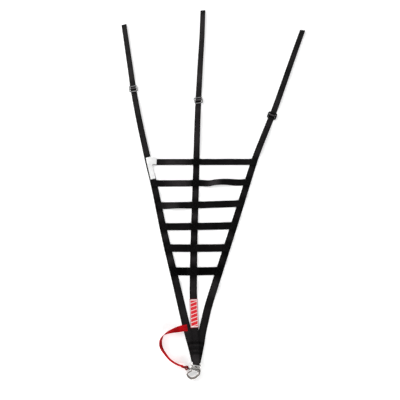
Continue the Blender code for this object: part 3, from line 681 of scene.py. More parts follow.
def along(plan, y):
    """x of a strap's middle line at height y, from its plan, top end first."""
    lines = LINES[id(plan)]
    for (y_top, x_top), (y_low, x_low) in zip(lines, lines[1:]):
        if y >= y_low:
            share = (y_top - y) / (y_top - y_low)
            return x_top + share * (x_low - x_top)
    return lines[-1][1]


def heading(plan, y):
    """Unit plan vector down a strap at height y."""
    reach = 2.0
    run = along(plan, y - reach) - along(plan, y + reach)
    return Vector((run, -2 * reach, 0.0)).normalized()


def wobble(along_it, seed, pitch):
    """A smooth uneven value, about -1 to 1, along a strap."""
    return 2.0 * noise.noise(Vector((along_it / pitch, seed * 17.3, 0.5)))


def ring_profile(quarter):
    """The whole cross-section from a quarter of it: the top from left to right, then the bottom."""
    right_top = quarter
    left_top = [(-out, up) for out, up in reversed(quarter[1:])]
    top = left_top + right_top
    bottom = [(out, -up) for out, up in reversed(top[1:-1])]
    return top + bottom


def stations_from(route, thick):
    """Stations of a strip from rows of (middle, way down the strip, across, width, roll)."""
    stations = []
    for index, (middle, way, across, width, roll) in enumerate(route):
        before = route[max(index - 1, 0)][0]
        after = route[min(index + 1, len(route) - 1)][0]
        tangent = (after - before).normalized()
        square = turned(way, 90.0)
        side = across * (width / 2) / across.dot(square)
        up = tangent.cross(across).normalized()
        lean = math.radians(roll)
        lifted = side * math.cos(lean) + up * math.sin(lean) * side.length
        raised = tangent.cross(lifted).normalized() * (thick / 2)
        stations.append((middle, lifted, raised))
    return stations


def lengths_along(points):
    lengths = [0.0]
    for before, after in zip(points, points[1:]):
        lengths.append(lengths[-1] + (after - before).length)
    return lengths


def join_rings(shape, rings, closed=False, ends=True):
    """The skin between rings of points, with flat ends unless it closes on itself."""
    pairs = list(zip(rings, rings[1:]))
    if closed:
        pairs.append((rings[-1], rings[0]))
    for ring, following in pairs:
        for a in range(len(ring)):
            b = (a + 1) % len(ring)
            shape.faces.new((ring[a], ring[b], following[b], following[a]))
    if ends and not closed:
        shape.faces.new(rings[0])
        shape.faces.new(rings[-1])


def new_piece(name, shape, look, node=None, body=NET):
    """A piece in world metres from a bmesh in plan millimetres, riding on its body."""
    bmesh.ops.translate(shape, vec=ORIGIN, verts=shape.verts)
    bmesh.ops.scale(shape, vec=(MM, MM, MM), verts=shape.verts)
    bmesh.ops.recalc_face_normals(shape, faces=shape.faces)
    piece = new_mesh_object(name, shape)
    piece.data.shade_smooth()
    piece.data.materials.append(look)
    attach(piece, body)
    if node:
        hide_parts(node)
    return piece


# A cut end of cloth: the length over which it rounds off, and the share of its width it loses
CUT_EASE = 0.8
CUT_NARROW = 0.015


def add_band(shape, stations, quarter=WEB_QUARTER, tone=None, start=0.0):
    """A closed strip of cloth with its coordinates and tone kept in the vertex layer "cloth"."""
    layer = shape.verts.layers.float_vector.get("cloth") or shape.verts.layers.float_vector.new("cloth")
    profile = ring_profile(quarter)
    lengths = lengths_along([middle for middle, _side, _up in stations])
    rings = []
    for index, (middle, side, up) in enumerate(stations):
        from_end = min(lengths[index], lengths[-1] - lengths[index])
        rounding = ease(from_end, -CUT_EASE, CUT_EASE)
        ring = []
        for out, rise in profile:
            point = middle + side * (out * (1.0 - CUT_NARROW * (1.0 - rounding))) + up * (rise * rounding)
            vert = shape.verts.new(point)
            across = out * side.length
            value = tone(middle, across) if tone else 1.0
            vert[layer] = (across, start + lengths[index], value)
            ring.append(vert)
        rings.append(ring)
    join_rings(shape, rings, ends=False)
    shape.faces.new(reversed(rings[0]))
    shape.faces.new(rings[-1])
    return lengths[-1]


def steps_between(start, stop, size):
    """Evenly spaced values from start to stop, about size apart."""
    count = max(1, round(abs(stop - start) / size))
    return [start + (stop - start) * step / count for step in range(count + 1)]


def glide_of(strap):
    return next(row for row in GLIDES if row[1] == strap)


def climb_at(climbs, y):
    """Height of a strap's underside at y, from its list of climbs."""
    return sum(ease(y, *climb) for climb in climbs)


def near_ribbon(y, near, far, full=1.0):
    """Full up to near from a ribbon, and 0 from far on."""
    return full * (1.0 - ease(min(abs(y - row[2]) for row in RIBBONS), near, far))


def from_adjuster(strap, place):
    """Distance of a plan place from the bar of the strap's adjuster, square to the bar."""
    _name, _strap, x, y, turn = glide_of(strap)[:5]
    square = turned(turned(EAST, turn), 90.0)
    return abs((Vector((place.x, place.y, 0.0)) - Vector((x, y, 0.0))).dot(square))


# Straps

STRAP_STEP = 4.0
ADJUSTER_STEP = 1.4
POINT_STEP = 2.5
ADJUSTER_HALF = 30.0
POINT_TOP = 20.0
# Lean of the uprights, and where they lie flat: by a ribbon, an adjuster, the point and the label
TILT = 1.6
TILT_RIGHT = 7.5
TILT_PITCH = 70.0
FLAT_BY_RIBBON = (22.0, 40.0)
FLAT_BY_ADJUSTER = (34.0, 64.0)
FLAT_BY_POINT = (40.0, 80.0)
FLAT_BY_LABEL = (60.0, 90.0)
LABEL_LEVEL = 500.0
# Extra stations close to a cut end
CUT_STEPS = (0.3, 0.8)


def strap_heights(start, end, glide_y):
    """Heights y of a strap's stations: fine in its adjuster, at its cut end and in the point."""
    above, below = glide_y + ADJUSTER_HALF, glide_y - ADJUSTER_HALF
    heights = {start - step for step in CUT_STEPS} | {end + step for step in CUT_STEPS}
    heights |= set(steps_between(start, above, STRAP_STEP))
    heights |= set(steps_between(above, below, ADJUSTER_STEP))
    heights |= set(steps_between(below, POINT_TOP, STRAP_STEP))
    heights |= set(steps_between(POINT_TOP, end, POINT_STEP))
    return sorted(heights, reverse=True)


def strap_route(strap, plan, climbs, end, seed):
    """Route of an upright strap from its top end to the point."""
    glide_y, turn, bar_height, flat, reach = glide_of(strap)[3:]
    bar = turned(EAST, turn)
    hump = bar_height + 2 * GAP + WEB_THICK
    hold = WIRE_REACH + ADJUSTER_HOLD
    route = []
    for y in strap_heights(plan[0][0], end, glide_y):
        way = heading(plan, y)
        place = Vector((along(plan, y), y, 0.0))
        from_bar = from_adjuster(strap, place)
        over = ease(from_bar, reach, flat, hump)
        loosen = ease(from_bar, hold, hold + ADJUSTER_FADE)
        across = bar.lerp(turned(way, 90.0), loosen).normalized()
        free = (1.0 - near_ribbon(y, *FLAT_BY_RIBBON)) * ease(from_bar, *FLAT_BY_ADJUSTER)
        free *= ease(y, *FLAT_BY_POINT) * ease(abs(y - LABEL_LEVEL), *FLAT_BY_LABEL)
        tilt = free * (TILT_RIGHT + TILT * wobble(y, seed, TILT_PITCH))
        place.z = climb_at(climbs, y) + WEB_THICK / 2 + over
        place.z += STRAP_WIDTH / 2 * abs(math.sin(math.radians(tilt)))
        route.append((place, way, across, STRAP_WIDTH, tilt))
    return route


STRAP_TONES = {
    # strap: top end, tone, loss of tone at the cut end
    "strap_left": (LEFT_PLAN[0][0], 1.0, 0.1),
    "strap_centre": (CENTRE_PLAN[0][0], 1.05, 0.7),
    "strap_right": (RIGHT_PLAN[0][0], 0.8, 0.6),
}
# Heights where the point is sewn through. The tone is darker there: the dense stitching, painted shade in
# the dips of the stitch rows, and at the first bar the painted shadow of the flap's cut end
POINT_BARS = [
    # y, half width
    (-96.0, 3.0), (-110.0, 4.5), (-123.0, 3.5),
]
# Changes of a strap's tone: where each begins, where it is full, and by how much
CUT_END = (-45.0, -15.0)
# Painted sheen: the strap's tail grows paler towards its top end, where the light skims the cloth
TAIL = (545.0, 585.0)
TAIL_SHEEN = 0.15
FLAP = (-97.0, -101.0, 0.6)
# Painted shade on the strap inside its adjuster, under the frame
ADJUSTER_SHADE = (18.0, 14.0, 0.8)
# Painted highlight where the strap humps over the adjuster's bar
HUMP_HIGHLIGHT = (4.0, 1.5, 7.5)
# Painted shade and dark stitching at the point's sewn bars
BAR_FADE = 2.0
BAR_SHADE = 0.55
EDGES = (6.0, 11.0, 0.3)
# Painted shade along the strap's right edge, the side turned away from the light
RIGHT_EDGE_SHADE = (5.0, 11.0, 0.2)
# Painted shade beside a ribbon, which lies over the strap there: full up to one distance, gone by the
# other, and only above a height
RIBBON_SHADE = (14.0, 40.0, 0.7)
RIBBON_SHADE_ABOVE = 60.0
# Slow and fast drift of the tone
DRIFTS = [
    # strength, pitch, seed shift
    (0.3, 90.0, 0), (0.12, 22.0, 5),
]


def web_tone(strap, seed):
    """Tone of a strap: paler in its tail by painted sheen, darker by painted shade beside the ribbons,
    inside its adjuster, along its right edge and at the point's sewn bars, with a painted highlight on its
    hump, and darker at its edges.
    """
    top, own_tone, end_loss = STRAP_TONES[strap]

    def tone(middle, across):
        y = middle.y
        from_bar = from_adjuster(strap, middle)
        tail = ease(y, *TAIL)
        ribbon_shade = near_ribbon(y, *RIBBON_SHADE) * (1.0 - tail) if y > RIBBON_SHADE_ABOVE else 0.0
        sewn = max(ease(abs(y - bar), half + BAR_FADE, half, BAR_SHADE) for bar, half in POINT_BARS)
        value = own_tone * (1.0 + TAIL_SHEEN * tail + ease(y, *FLAP))
        value *= 1.0 - ease(abs(across), *EDGES) - ease(across, *RIGHT_EDGE_SHADE)
        value *= (1.0 - ribbon_shade) * (1.0 - ease(y - top, *CUT_END, end_loss))
        value *= (1.0 - ease(from_bar, *ADJUSTER_SHADE)) * (1.0 - sewn)
        value *= 1.0 + sum(share * wobble(y, seed + shift, pitch) for share, pitch, shift in DRIFTS)
        return value + ease(from_bar, *HUMP_HIGHLIGHT)
    return tone


# Length over which a side strap's end turns to lie along the bail
SIDE_TURN = 15.0


def side_strap(node, plan, climbs, seed):
    """Left or right strap; its lower end is cut along the bail's bar."""
    route = strap_route(node, plan, climbs, SIDE_STRAP_END, seed)
    bar = turned(EAST, SHACKLE_TURN)
    for index, (middle, way, across, width, roll) in enumerate(route):
        share = ease(middle.y, SIDE_STRAP_END + SIDE_TURN, SIDE_STRAP_END)
        if share > 0.0:
            route[index] = (middle, way, across.lerp(bar, share).normalized(), width, roll)
    shape = bmesh.new()
    long = add_band(shape, stations_from(route, WEB_THICK), tone=web_tone(node, seed))
    piece = new_piece(node + "_webbing", shape, BLACK_WEB, node)
    return piece, (STRAP_WIDTH * MM, long * MM)


def shackle_to_plan(x, y, z=0.0):
    """A point of the shackle's frame, in the plan."""
    point = turned(Vector((x, y, 0.0)), SHACKLE_TURN)
    return point + Vector((SHACKLE_PLACE[0], SHACKLE_PLACE[1], z))


# Stations of the centre strap's loop: down to the bail, round its bar and back
LOOP_RUN = 12.0
LOOP_STEPS = 8
ARC_STEPS = 20
FLAP_STEPS = 27


def centre_strap(seed):
    """Centre strap: down to the bail, round its bar and back over the point as a flap."""
    bar = turned(EAST, SHACKLE_TURN)
    down = turned(-NORTH, SHACKLE_TURN)
    centre = shackle_to_plan(BAIL_SHIFT, BAIL_TOP, SHACKLE_MID + BAIL_RISE)
    turn_radius = (BAIL_WIRE + WEB_THICK) / 2 + GAP
    gathered = 2 * BAIL_HALF - BAIL_WIRE - 4 * GAP
    route = strap_route("strap_centre", CENTRE_PLAN, CENTRE_CLIMBS, centre.y + LOOP_RUN, seed)
    low = route[-1][0].copy()
    for step in range(1, LOOP_STEPS):
        share = step / LOOP_STEPS
        place = low.lerp(centre, share)
        place.z = low.z + share * (centre.z - turn_radius - low.z)
        across = turned(EAST, SHACKLE_TURN * share)
        route.append((place, down, across, STRAP_WIDTH + share * (gathered - STRAP_WIDTH), 0.0))
    for step in range(ARC_STEPS + 1):
        angle = math.pi * step / ARC_STEPS
        place = centre + down * (turn_radius * math.sin(angle))
        place.z = centre.z - turn_radius * math.cos(angle)
        route.append((place, down, bar, gathered, 0.0))
    route += flap_route(centre, turn_radius, gathered)
    shape = bmesh.new()
    long = add_band(shape, stations_from(route, WEB_THICK), tone=web_tone("strap_centre", seed))
    piece = new_piece("strap_centre_webbing", shape, BLACK_WEB, "strap_centre")
    return piece, (STRAP_WIDTH * MM, long * MM)


def flap_route(centre, turn_radius, gathered):
    """The folded-back end of the centre strap, from the bail up to its cut end."""
    flap = []
    top = centre.z + turn_radius
    rest = 3 * LAYER + WEB_THICK / 2
    long = FLAP_END - centre.y
    shares = [step / FLAP_STEPS for step in range(1, FLAP_STEPS + 1)]
    shares += [1.0 - step / long for step in CUT_STEPS]
    for share in sorted(shares):
        y = centre.y + share * long
        down = heading(CENTRE_PLAN, y)
        settle = ease(y, centre.y, FLAP_REST)
        x = centre.x + settle * (along(CENTRE_PLAN, y) - centre.x)
        place = Vector((x, y, top + settle * (rest - top)))
        across = turned(EAST, SHACKLE_TURN * (1 - settle))
        width = gathered + ease(share, 0.0, 0.5) * (STRAP_WIDTH - gathered)
        flap.append((place, down, across, width, 0.0))
    return flap


# Ribbons

RIBBON_STEP = 2.6
# Unevenness of a ribbon's roll, in degrees, and of its tone
ROLL_WOBBLE = 1.4
ROLL_PITCH = 40.0
TONE_WOBBLE = 0.2
TONE_PITCH = 24.0
# Changes of a ribbon's tone: over the middle strap, and at its cut ends
OVER_STRAP = (12.0, 0.0)
RIBBON_CUT = (9.0, 3.0, 0.7)


BUMP_POWER = 1.2


def bump_at(x, start, end):
    """0 at both ends of a stretch and 1 in its middle."""
    if not start < x < end:
        return 0.0
    return math.sin(math.pi * (x - start) / (end - start)) ** BUMP_POWER


def summed(rows, name, x):
    """Sum at x of a ribbon's rows (name, x_start, x_end, amount)."""
    return sum(row[3] * bump_at(x, row[1], row[2]) for row in rows if row[0] == name)


def ribbon_crossings(y_left, y_centre, y_right):
    """Each strap under a ribbon: low edge x, high edge x and slant."""
    crossings = []
    for plan, y in ((LEFT_PLAN, y_left), (CENTRE_PLAN, y_centre), (RIGHT_PLAN, y_right)):
        way = heading(plan, y)
        half = STRAP_WIDTH / 2 / -way.y
        x = along(plan, y)
        crossings.append((x - half, x + half, way.x / way.y))
    return crossings


def ribbon_lift(x, crossings):
    """1 over a strap and its margins, 0 where the ribbon lies on the floor."""
    lift = 0.0
    for low, high, _slant in crossings:
        outside = max(low - x, x - high, 0.0)
        lift = max(lift, ease(outside, RIBBON_MARGIN + RIBBON_RAMP, RIBBON_MARGIN))
    return lift


def ribbon_row(name, x, ends, crossings, seed):
    """Middle, way, across, width and roll of a ribbon at x."""
    start, middle_x, end = crossings[0][0], sum(crossings[1][:2]) / 2, crossings[2][1]
    side = 0 if x < middle_x else 1
    low, high = ((start, middle_x), (middle_x, end))[side]
    share = (x - low) / (high - low)
    y = ends[side] + share * (ends[side + 1] - ends[side])
    slant = crossings[side][2] + share * (crossings[side + 1][2] - crossings[side][2])
    y += summed(WANDERS, name, x)
    lifted = ribbon_lift(x, crossings)
    roll = CURL_EASE * summed(CURLS, name, x)
    roll += ROLL_WOBBLE * (1.0 - lifted) * wobble(x, seed, ROLL_PITCH)
    across = Vector((slant, 1.0, 0.0)).normalized()
    z = LAYER * lifted + WEB_THICK / 2
    z += RIBBON_WIDTH / 2 / across.y * abs(math.sin(math.radians(roll)))
    return Vector((x, y, z)), EAST, across, RIBBON_WIDTH, -roll


def ribbon(name, ends, seed):
    """A cross ribbon from the left strap's outer edge to the right strap's, with its stitches."""
    crossings = ribbon_crossings(*ends)
    start, end = crossings[0][0], crossings[2][1]
    places = {start + step for step in CUT_STEPS} | {end - step for step in CUT_STEPS}
    places |= set(steps_between(start, end, RIBBON_STEP))
    route = [ribbon_row(name, x, ends, crossings, seed) for x in sorted(places)]
    free_tone, middle_tone = RIBBON_TONES[name]

    def tone(middle, across):
        low, high, _slant = crossings[1]
        over = ease(max(low - middle.x, middle.x - high, 0.0), *OVER_STRAP)
        cut = ease(min(middle.x - start, end - middle.x), *RIBBON_CUT)
        value = (free_tone + over * (middle_tone - free_tone)) * (1.0 - cut)
        # Painted sheen highlight on the leaning stretches
        value += summed(PAINTED_SHEENS, name, middle.x)
        return value * (1.0 + TONE_WOBBLE * wobble(middle.x, seed, TONE_PITCH))

    shape = bmesh.new()
    long = add_band(shape, stations_from(route, WEB_THICK), tone=tone)
    piece = new_piece(name + "_webbing", shape, BLACK_WEB, name)
    stitches = bmesh.new()
    for index, plan in enumerate((LEFT_PLAN, CENTRE_PLAN, RIGHT_PLAN)):
        box_stitch(stitches, plan, ends, crossings, index)
    thread = new_piece(name + "_stitches", stitches, BLACK_THREAD)
    return piece, (RIBBON_WIDTH * MM, long * MM), thread


# Stitches

STITCH = 2.7
STITCH_SPACE = 0.7
THREAD = 0.34
STITCH_PROFILE = [
    # share of its length, rise and radius in radii of the thread
    (0.0, -0.5, 0.6), (0.22, 0.35, 1.0), (0.78, 0.35, 1.0), (1.0, -0.5, 0.6),
]
STITCH_SIDES = 6
BOX_MARGIN = 3.4
POINT_ROWS = (-77.0, -82.0, -87.5)
POINT_ROW_HALF = 10.5
FLAP_ROWS = (-97.5, -99.0, -105.0, -106.5, -108.0, -119.5, -121.0, -122.5)
FLAP_BOXES = [
    # upper row, lower row
    (-97.5, -108.0), (-108.0, -122.5),
]
FLAP_ROW_HALF = 10.0


def add_stitch(shape, start, end, radius):
    """One stitch: a short thread that dips into the cloth at both ends."""
    way = end - start
    square = UP.cross(way).normalized()
    rings = []
    for share, rise, scale in STITCH_PROFILE:
        middle = start + way * share + UP * (rise * radius)
        points = circle(middle, square, UP, radius * scale, STITCH_SIDES)
        rings.append([shape.verts.new(point) for point in points])
    join_rings(shape, rings)


def seam(shape, points, stitch=STITCH, space=STITCH_SPACE, radius=THREAD):
    """A row of stitches through points."""
    for start, end in zip(points, points[1:]):
        way = end - start
        count = max(1, round(way.length / (stitch + space)))
        for index in range(count):
            share = (index + 0.5) / count
            half = stitch / 2 / way.length
            add_stitch(shape, start + way * (share - half), start + way * (share + half), radius)


def crossed_box(shape, corners, radius=THREAD):
    a, b, c, d = corners
    seam(shape, [a, b, c, d, a], radius=radius)
    seam(shape, [a, c], radius=radius)
    seam(shape, [b, d], radius=radius)


def box_stitch(shape, plan, ends, crossings, index):
    """A box with a cross in it, where a ribbon lies over a strap."""
    y = ends[index]
    way = heading(plan, y)
    out = EAST * ((crossings[index][1] - crossings[index][0]) / 2 - BOX_MARGIN)
    up = way * (-(RIBBON_WIDTH / 2 - BOX_MARGIN) / abs(way.y))
    middle = Vector((along(plan, y), y, LAYER + WEB_THICK * TOP_OF_WEB))
    crossed_box(shape, [middle - out - up, middle + out - up, middle + out + up, middle - out + up])


def point_stitches():
    """Rows of stitches through the straps in the point, and the box on the flap."""
    shape = bmesh.new()
    for y in POINT_ROWS:
        across = turned(heading(CENTRE_PLAN, y), 90.0) * POINT_ROW_HALF
        middle = Vector((along(CENTRE_PLAN, y), y, climb_at(CENTRE_CLIMBS, y) + WEB_THICK * TOP_OF_WEB))
        seam(shape, [middle - across, middle + across])
    top = 3 * LAYER + WEB_THICK * TOP_OF_WEB
    right = EAST * FLAP_ROW_HALF
    for y in FLAP_ROWS:
        middle = Vector((along(CENTRE_PLAN, y), y, top))
        seam(shape, [middle - right, middle + right])
    for first, second in FLAP_BOXES:
        upper = Vector((along(CENTRE_PLAN, first), first, top))
        lower = Vector((along(CENTRE_PLAN, second), second, top))
        for start, end in ((-right, -right), (right, right), (-right, right), (right, -right)):
            seam(shape, [upper + start, lower + end])
    return new_piece("point_stitches", shape, BLACK_THREAD)


# Labels

# The white label's edges are folded under, and a painted shade darkens a thin line along each fold
FOLD_LINE = 9.1
FOLD_SHADE = (0.8, 0.0, 0.06)
LABEL_WOBBLE = 0.04
LABEL_PITCH = 9.0
LABEL_STEP = 1.6
LABEL_HEM = 0.9
STRIP_CLEAR = 0.1
FLAP_CLEAR = 0.3


def plain_label():
    """White label: a strip down the left strap and a flap folded along the first ribbon."""
    shape = bmesh.new()
    strip = []
    for y, x, base in curve_through(PLAIN_STRIP, count=14):
        way = heading(LEFT_PLAN, y)
        middle = Vector((x, y, base + LABEL_THICK / 2 + STRIP_CLEAR))
        strip.append((middle, way, turned(way, 90.0), PLAIN_STRIP_WIDE, 0.0))

    def tone(middle, across):
        # Painted shade along the fold lines
        folded = ease(abs(abs(across) - FOLD_LINE), *FOLD_SHADE)
        return 1.0 - folded + LABEL_WOBBLE * wobble(middle.y, 5.0, LABEL_PITCH)

    long = add_band(shape, stations_from(strip, LABEL_THICK), LABEL_QUARTER, tone)
    flap = []
    for x, y, base in curve_through(PLAIN_FLAP, count=14):
        middle = Vector((x, y, base + LABEL_THICK / 2 + FLAP_CLEAR))
        flap.append((middle, EAST, NORTH, PLAIN_FLAP_WIDE, 0.0))
    wide = add_band(shape, stations_from(flap, LABEL_THICK), LABEL_QUARTER, tone)
    piece = new_piece("label_plain_cloth", shape, WHITE_LABEL, "label_plain")
    area = (PLAIN_STRIP_WIDE * long + PLAIN_FLAP_WIDE * wide) * MM * MM
    return piece, (PLAIN_STRIP_WIDE * MM, area / (PLAIN_STRIP_WIDE * MM))


def striped_label():
    """Red and white label, sewn flat on the centre strap, with its stitches."""
    route = []
    for y in steps_between(STRIPED_TOP, STRIPED_BOTTOM, LABEL_STEP):
        way = heading(CENTRE_PLAN, y)
        z = climb_at(CENTRE_CLIMBS, y) + LAYER + LABEL_THICK / 2
        route.append((Vector((along(CENTRE_PLAN, y), y, z)), way, turned(way, 90.0), STRIPED_WIDE, 0.0))
    shape = bmesh.new()
    long = add_band(shape, stations_from(route, LABEL_THICK), LABEL_QUARTER)
    piece = new_piece("label_striped_cloth", shape, STRIPED_LABEL, "label_striped")
    corners = []
    for row, sign in ((route, 1), (list(reversed(route)), -1)):
        for middle, _way, across, width, _roll in row[1:-1:2]:
            corners.append(middle + across * (sign * (width / 2 - LABEL_HEM)) + UP * (LABEL_THICK / 2))
    stitches = bmesh.new()
    seam(stitches, [*corners, corners[0]], stitch=2.2, space=0.5, radius=0.2)
    thread = new_piece("label_striped_stitches", stitches, RED_THREAD)
    return piece, (STRIPED_WIDE * MM, long * MM), thread


# Red pull strap

PULL_BOX = [
    # x, y
    (-42.0, -44.0), (-51.0, -45.2), (-52.8, -60.2), (-43.8, -59.0),
]
PULL_THREAD = 0.28
# Changes of its tone: worn edges, and painted shade at the ring, where the fold lies deep in shade, and in
# the turn, where the strap rolls onto its edge away from the light
WORN = (7.0, 9.5, 0.12)
SHADE_BY_RING = (15.0, 8.0, 0.55)
TURN_SHADE_Y = (-90.0, -72.0, 0.45)
TURN_SHADE_X = (-62.0, -78.0)
PULL_WOBBLE = 0.08
PULL_PITCH = 18.0


def ring_centre():
    """Plan place of the pull ring's middle: it stands on edge and hangs on the pin's eye."""
    drop = RING_RADIUS + RING_WIRE / 2 - SHACKLE_MID
    reach = math.sqrt(RING_RADIUS ** 2 - drop ** 2)
    eye = shackle_to_plan(PIN_EYE_X, PIN_Y)
    return eye - turned(EAST, RING_TURN) * reach


def pull_fold():
    """Rows of the pull strap's turn through the ring: a half circle beside its middle."""
    ahead = turned(EAST, RING_TURN)
    square = turned(ahead, 90.0)
    middle = ring_centre() + ahead * (PULL_FOLD_AHEAD - PULL_FOLD_RADIUS)
    lift = RING_RADIUS + RING_WIRE / 2 - PULL_FOLD_WIDE / 2
    turn = arc(middle, ahead, square, PULL_FOLD_RADIUS, 90.0, -90.0, steps=6)
    return [(point.x, point.y, PULL_FOLD_ROLL, PULL_FOLD_WIDE, lift) for point in turn]


def pull_strap():
    """Red pull strap: sewn flat on the left strap, turned on edge, folded through the ring."""
    rows = curve_through([*PULL_ROUTE, *pull_fold(), *PULL_TAIL], count=9)
    stations = []
    for index, (x, y, roll, width, lift) in enumerate(rows):
        before = rows[max(index - 1, 0)]
        after = rows[min(index + 1, len(rows) - 1)]
        way = Vector((after[0] - before[0], after[1] - before[1], 0.0)).normalized()
        lean = math.radians(roll)
        z = max(lift, 0.0) + width / 2 * math.sin(lean) + PULL_THICK / 2 * abs(math.cos(lean)) + PULL_FREE
        side = (turned(way, 90.0) * math.cos(lean) + UP * math.sin(lean)) * (width / 2)
        stations.append((Vector((x, y, z)), side, way.cross(side).normalized() * (PULL_THICK / 2)))
    ring = ring_centre()

    def tone(middle, across):
        from_ring = math.hypot(middle.x - ring.x, middle.y - ring.y)
        # Painted shade at the ring and in the turn
        shade = 1.0 - ease(from_ring, *SHADE_BY_RING) - ease(middle.y, *TURN_SHADE_Y) * ease(middle.x, *TURN_SHADE_X)
        shade *= 1.0 + ease(abs(across), *WORN)
        return shade * (1.0 + PULL_WOBBLE * wobble(middle.x + middle.y, 3.0, PULL_PITCH))

    shape = bmesh.new()
    long = add_band(shape, stations, tone=tone)
    piece = new_piece("pull_strap_webbing", shape, RED_WEB, "pull_strap")
    stitches = bmesh.new()
    top = LAYER + PULL_THICK * TOP_OF_WEB + PULL_FREE
    crossed_box(stitches, [Vector((x, y, top)) for x, y in PULL_BOX], PULL_THREAD)
    thread = new_piece("pull_strap_stitches", stitches, RED_THREAD)
    return piece, (PULL_WIDE * MM, long * MM), thread


# Metal and plastic

# What the skin's voxels and rounds take off a wire's radius
SKIN_LOSS = 0.04
# Length of a cut that goes right through
CUT_LONG = 30.0


def rounded_rectangle(wide, tall, corner, steps):
    """Plan points of a rounded rectangle about the origin, counter-clockwise."""
    points = []
    quarters = ((1, 1, 0), (-1, 1, 90), (-1, -1, 180), (1, -1, 270))
    for sign_x, sign_y, first in quarters:
        middle = Vector((sign_x * (wide / 2 - corner), sign_y * (tall / 2 - corner), 0.0))
        points += arc(middle, EAST, NORTH, corner, first, first + 90.0, steps)
    return points


def tube(points, radii, closed=False, sides=16, normal=UP):
    """A round wire along points in a plane square to the normal, with one radius or one a point."""
    shape = bmesh.new()
    count = len(points)
    if isinstance(radii, float):
        radii = [radii] * count
    rings = []
    for index, point in enumerate(points):
        if closed:
            tangent = points[(index + 1) % count] - points[index - 1]
        else:
            tangent = points[min(index + 1, count - 1)] - points[max(index - 1, 0)]
        outward = tangent.cross(normal).normalized()
        upward = outward.cross(tangent).normalized()
        spots = circle(point, outward, upward, radii[index], sides, 180.0 / sides)
        rings.append([shape.verts.new(spot) for spot in spots])
    join_rings(shape, rings, closed)
    return shape


def block(size):
    shape = bmesh.new()
    bmesh.ops.create_cube(shape, size=1.0)
    bmesh.ops.scale(shape, vec=size, verts=shape.verts)
    return shape


def plate(points, thick):
    """A flat plate with the given plan outline, standing on z = 0."""
    shape = bmesh.new()
    face = shape.faces.new([shape.verts.new(point) for point in points])
    swept = bmesh.ops.extrude_face_region(shape, geom=[face])
    lifted = [item for item in swept["geom"] if isinstance(item, bmesh.types.BMVert)]
    bmesh.ops.translate(shape, vec=(0.0, 0.0, thick), verts=lifted)
    return shape


TURNS = {
    "x": Matrix.Rotation(math.pi / 2, 3, "Y"),
    "y": Matrix.Rotation(-math.pi / 2, 3, "X"),
    "z": Matrix.Identity(3),
}


def lathe(profile, axis="z", sides=40):
    """A turned shape about an axis: profile rows are (distance along the axis, radius)."""
    shape = bmesh.new()
    rings = []
    for height, radius in profile:
        rings.append([shape.verts.new(spot) for spot in circle(UP * height, EAST, NORTH, radius, sides)])
    join_rings(shape, rings)
    bmesh.ops.rotate(shape, matrix=TURNS[axis], verts=shape.verts)
    return shape


def rod(radius, length, axis):
    return lathe([(-length / 2, radius), (length / 2, radius)], axis)


def scratch_object(shape):
    """A guide object in millimetres, for the Boolean steps of fused()."""
    bmesh.ops.recalc_face_normals(shape, faces=shape.faces)
    return new_mesh_object("guide", shape)


def fused(base, steps, voxel=0.3, rounds=3):
    """One skin from a base and (operation, shape, place) steps, with small rounds where they meet."""
    guides = [scratch_object(base)]
    for operation, shape, place in steps:
        bmesh.ops.translate(shape, vec=place, verts=shape.verts)
        guide = scratch_object(shape)
        guide.hide_render = True
        guides.append(guide)
        cut = guides[0].modifiers.new("cut", "BOOLEAN")
        cut.operation = operation
        cut.object = guide
        cut.solver = "EXACT"
    remesh = guides[0].modifiers.new("skin", "REMESH")
    remesh.mode = "VOXEL"
    remesh.voxel_size = voxel
    soften = guides[0].modifiers.new("soften", "SMOOTH")
    soften.factor = 0.5
    soften.iterations = rounds
    bpy.context.view_layer.update()
    seen = guides[0].evaluated_get(bpy.context.evaluated_depsgraph_get())
    shape = bmesh.new()
    shape.from_mesh(seen.to_mesh())
    seen.to_mesh_clear()
    for guide in guides:
        bpy.data.objects.remove(guide, do_unlink=True)
    return shape


def set_down(shape, place, turn_degrees):
    """Turn a shape about Z and move it to its place in the plan."""
    bmesh.ops.rotate(shape, matrix=Matrix.Rotation(math.radians(turn_degrees), 3, "Z"), verts=shape.verts)
    bmesh.ops.translate(shape, vec=place, verts=shape.verts)
    return shape


def shackle_piece(node, shape, look=STEEL, body=NET):
    set_down(shape, (*SHACKLE_PLACE, 0.0), SHACKLE_TURN)
    new_piece(node + "_metal", shape, look, node, body)


def wire_glide(node, x, y, turn):
    """Wire slide adjuster: a rounded frame with a bar across its middle."""
    wide = GLIDE_WIDE - GLIDE_WIRE
    tall = GLIDE_TALL - GLIDE_WIRE
    outline = rounded_rectangle(wide, tall, GLIDE_CORNER - GLIDE_WIRE / 2, steps=8)
    bar = rod(GLIDE_BAR / 2, wide, "x")
    frame_wire = tube(outline, GLIDE_WIRE / 2 + SKIN_LOSS, closed=True, sides=24)
    shape = fused(frame_wire, [("UNION", bar, (0.0, 0.0, 0.0))], voxel=0.32)
    set_down(shape, (x, y, LAYER + GLIDE_WIRE / 2), turn)
    new_piece(node + "_wire", shape, WIRE_STEEL, node)


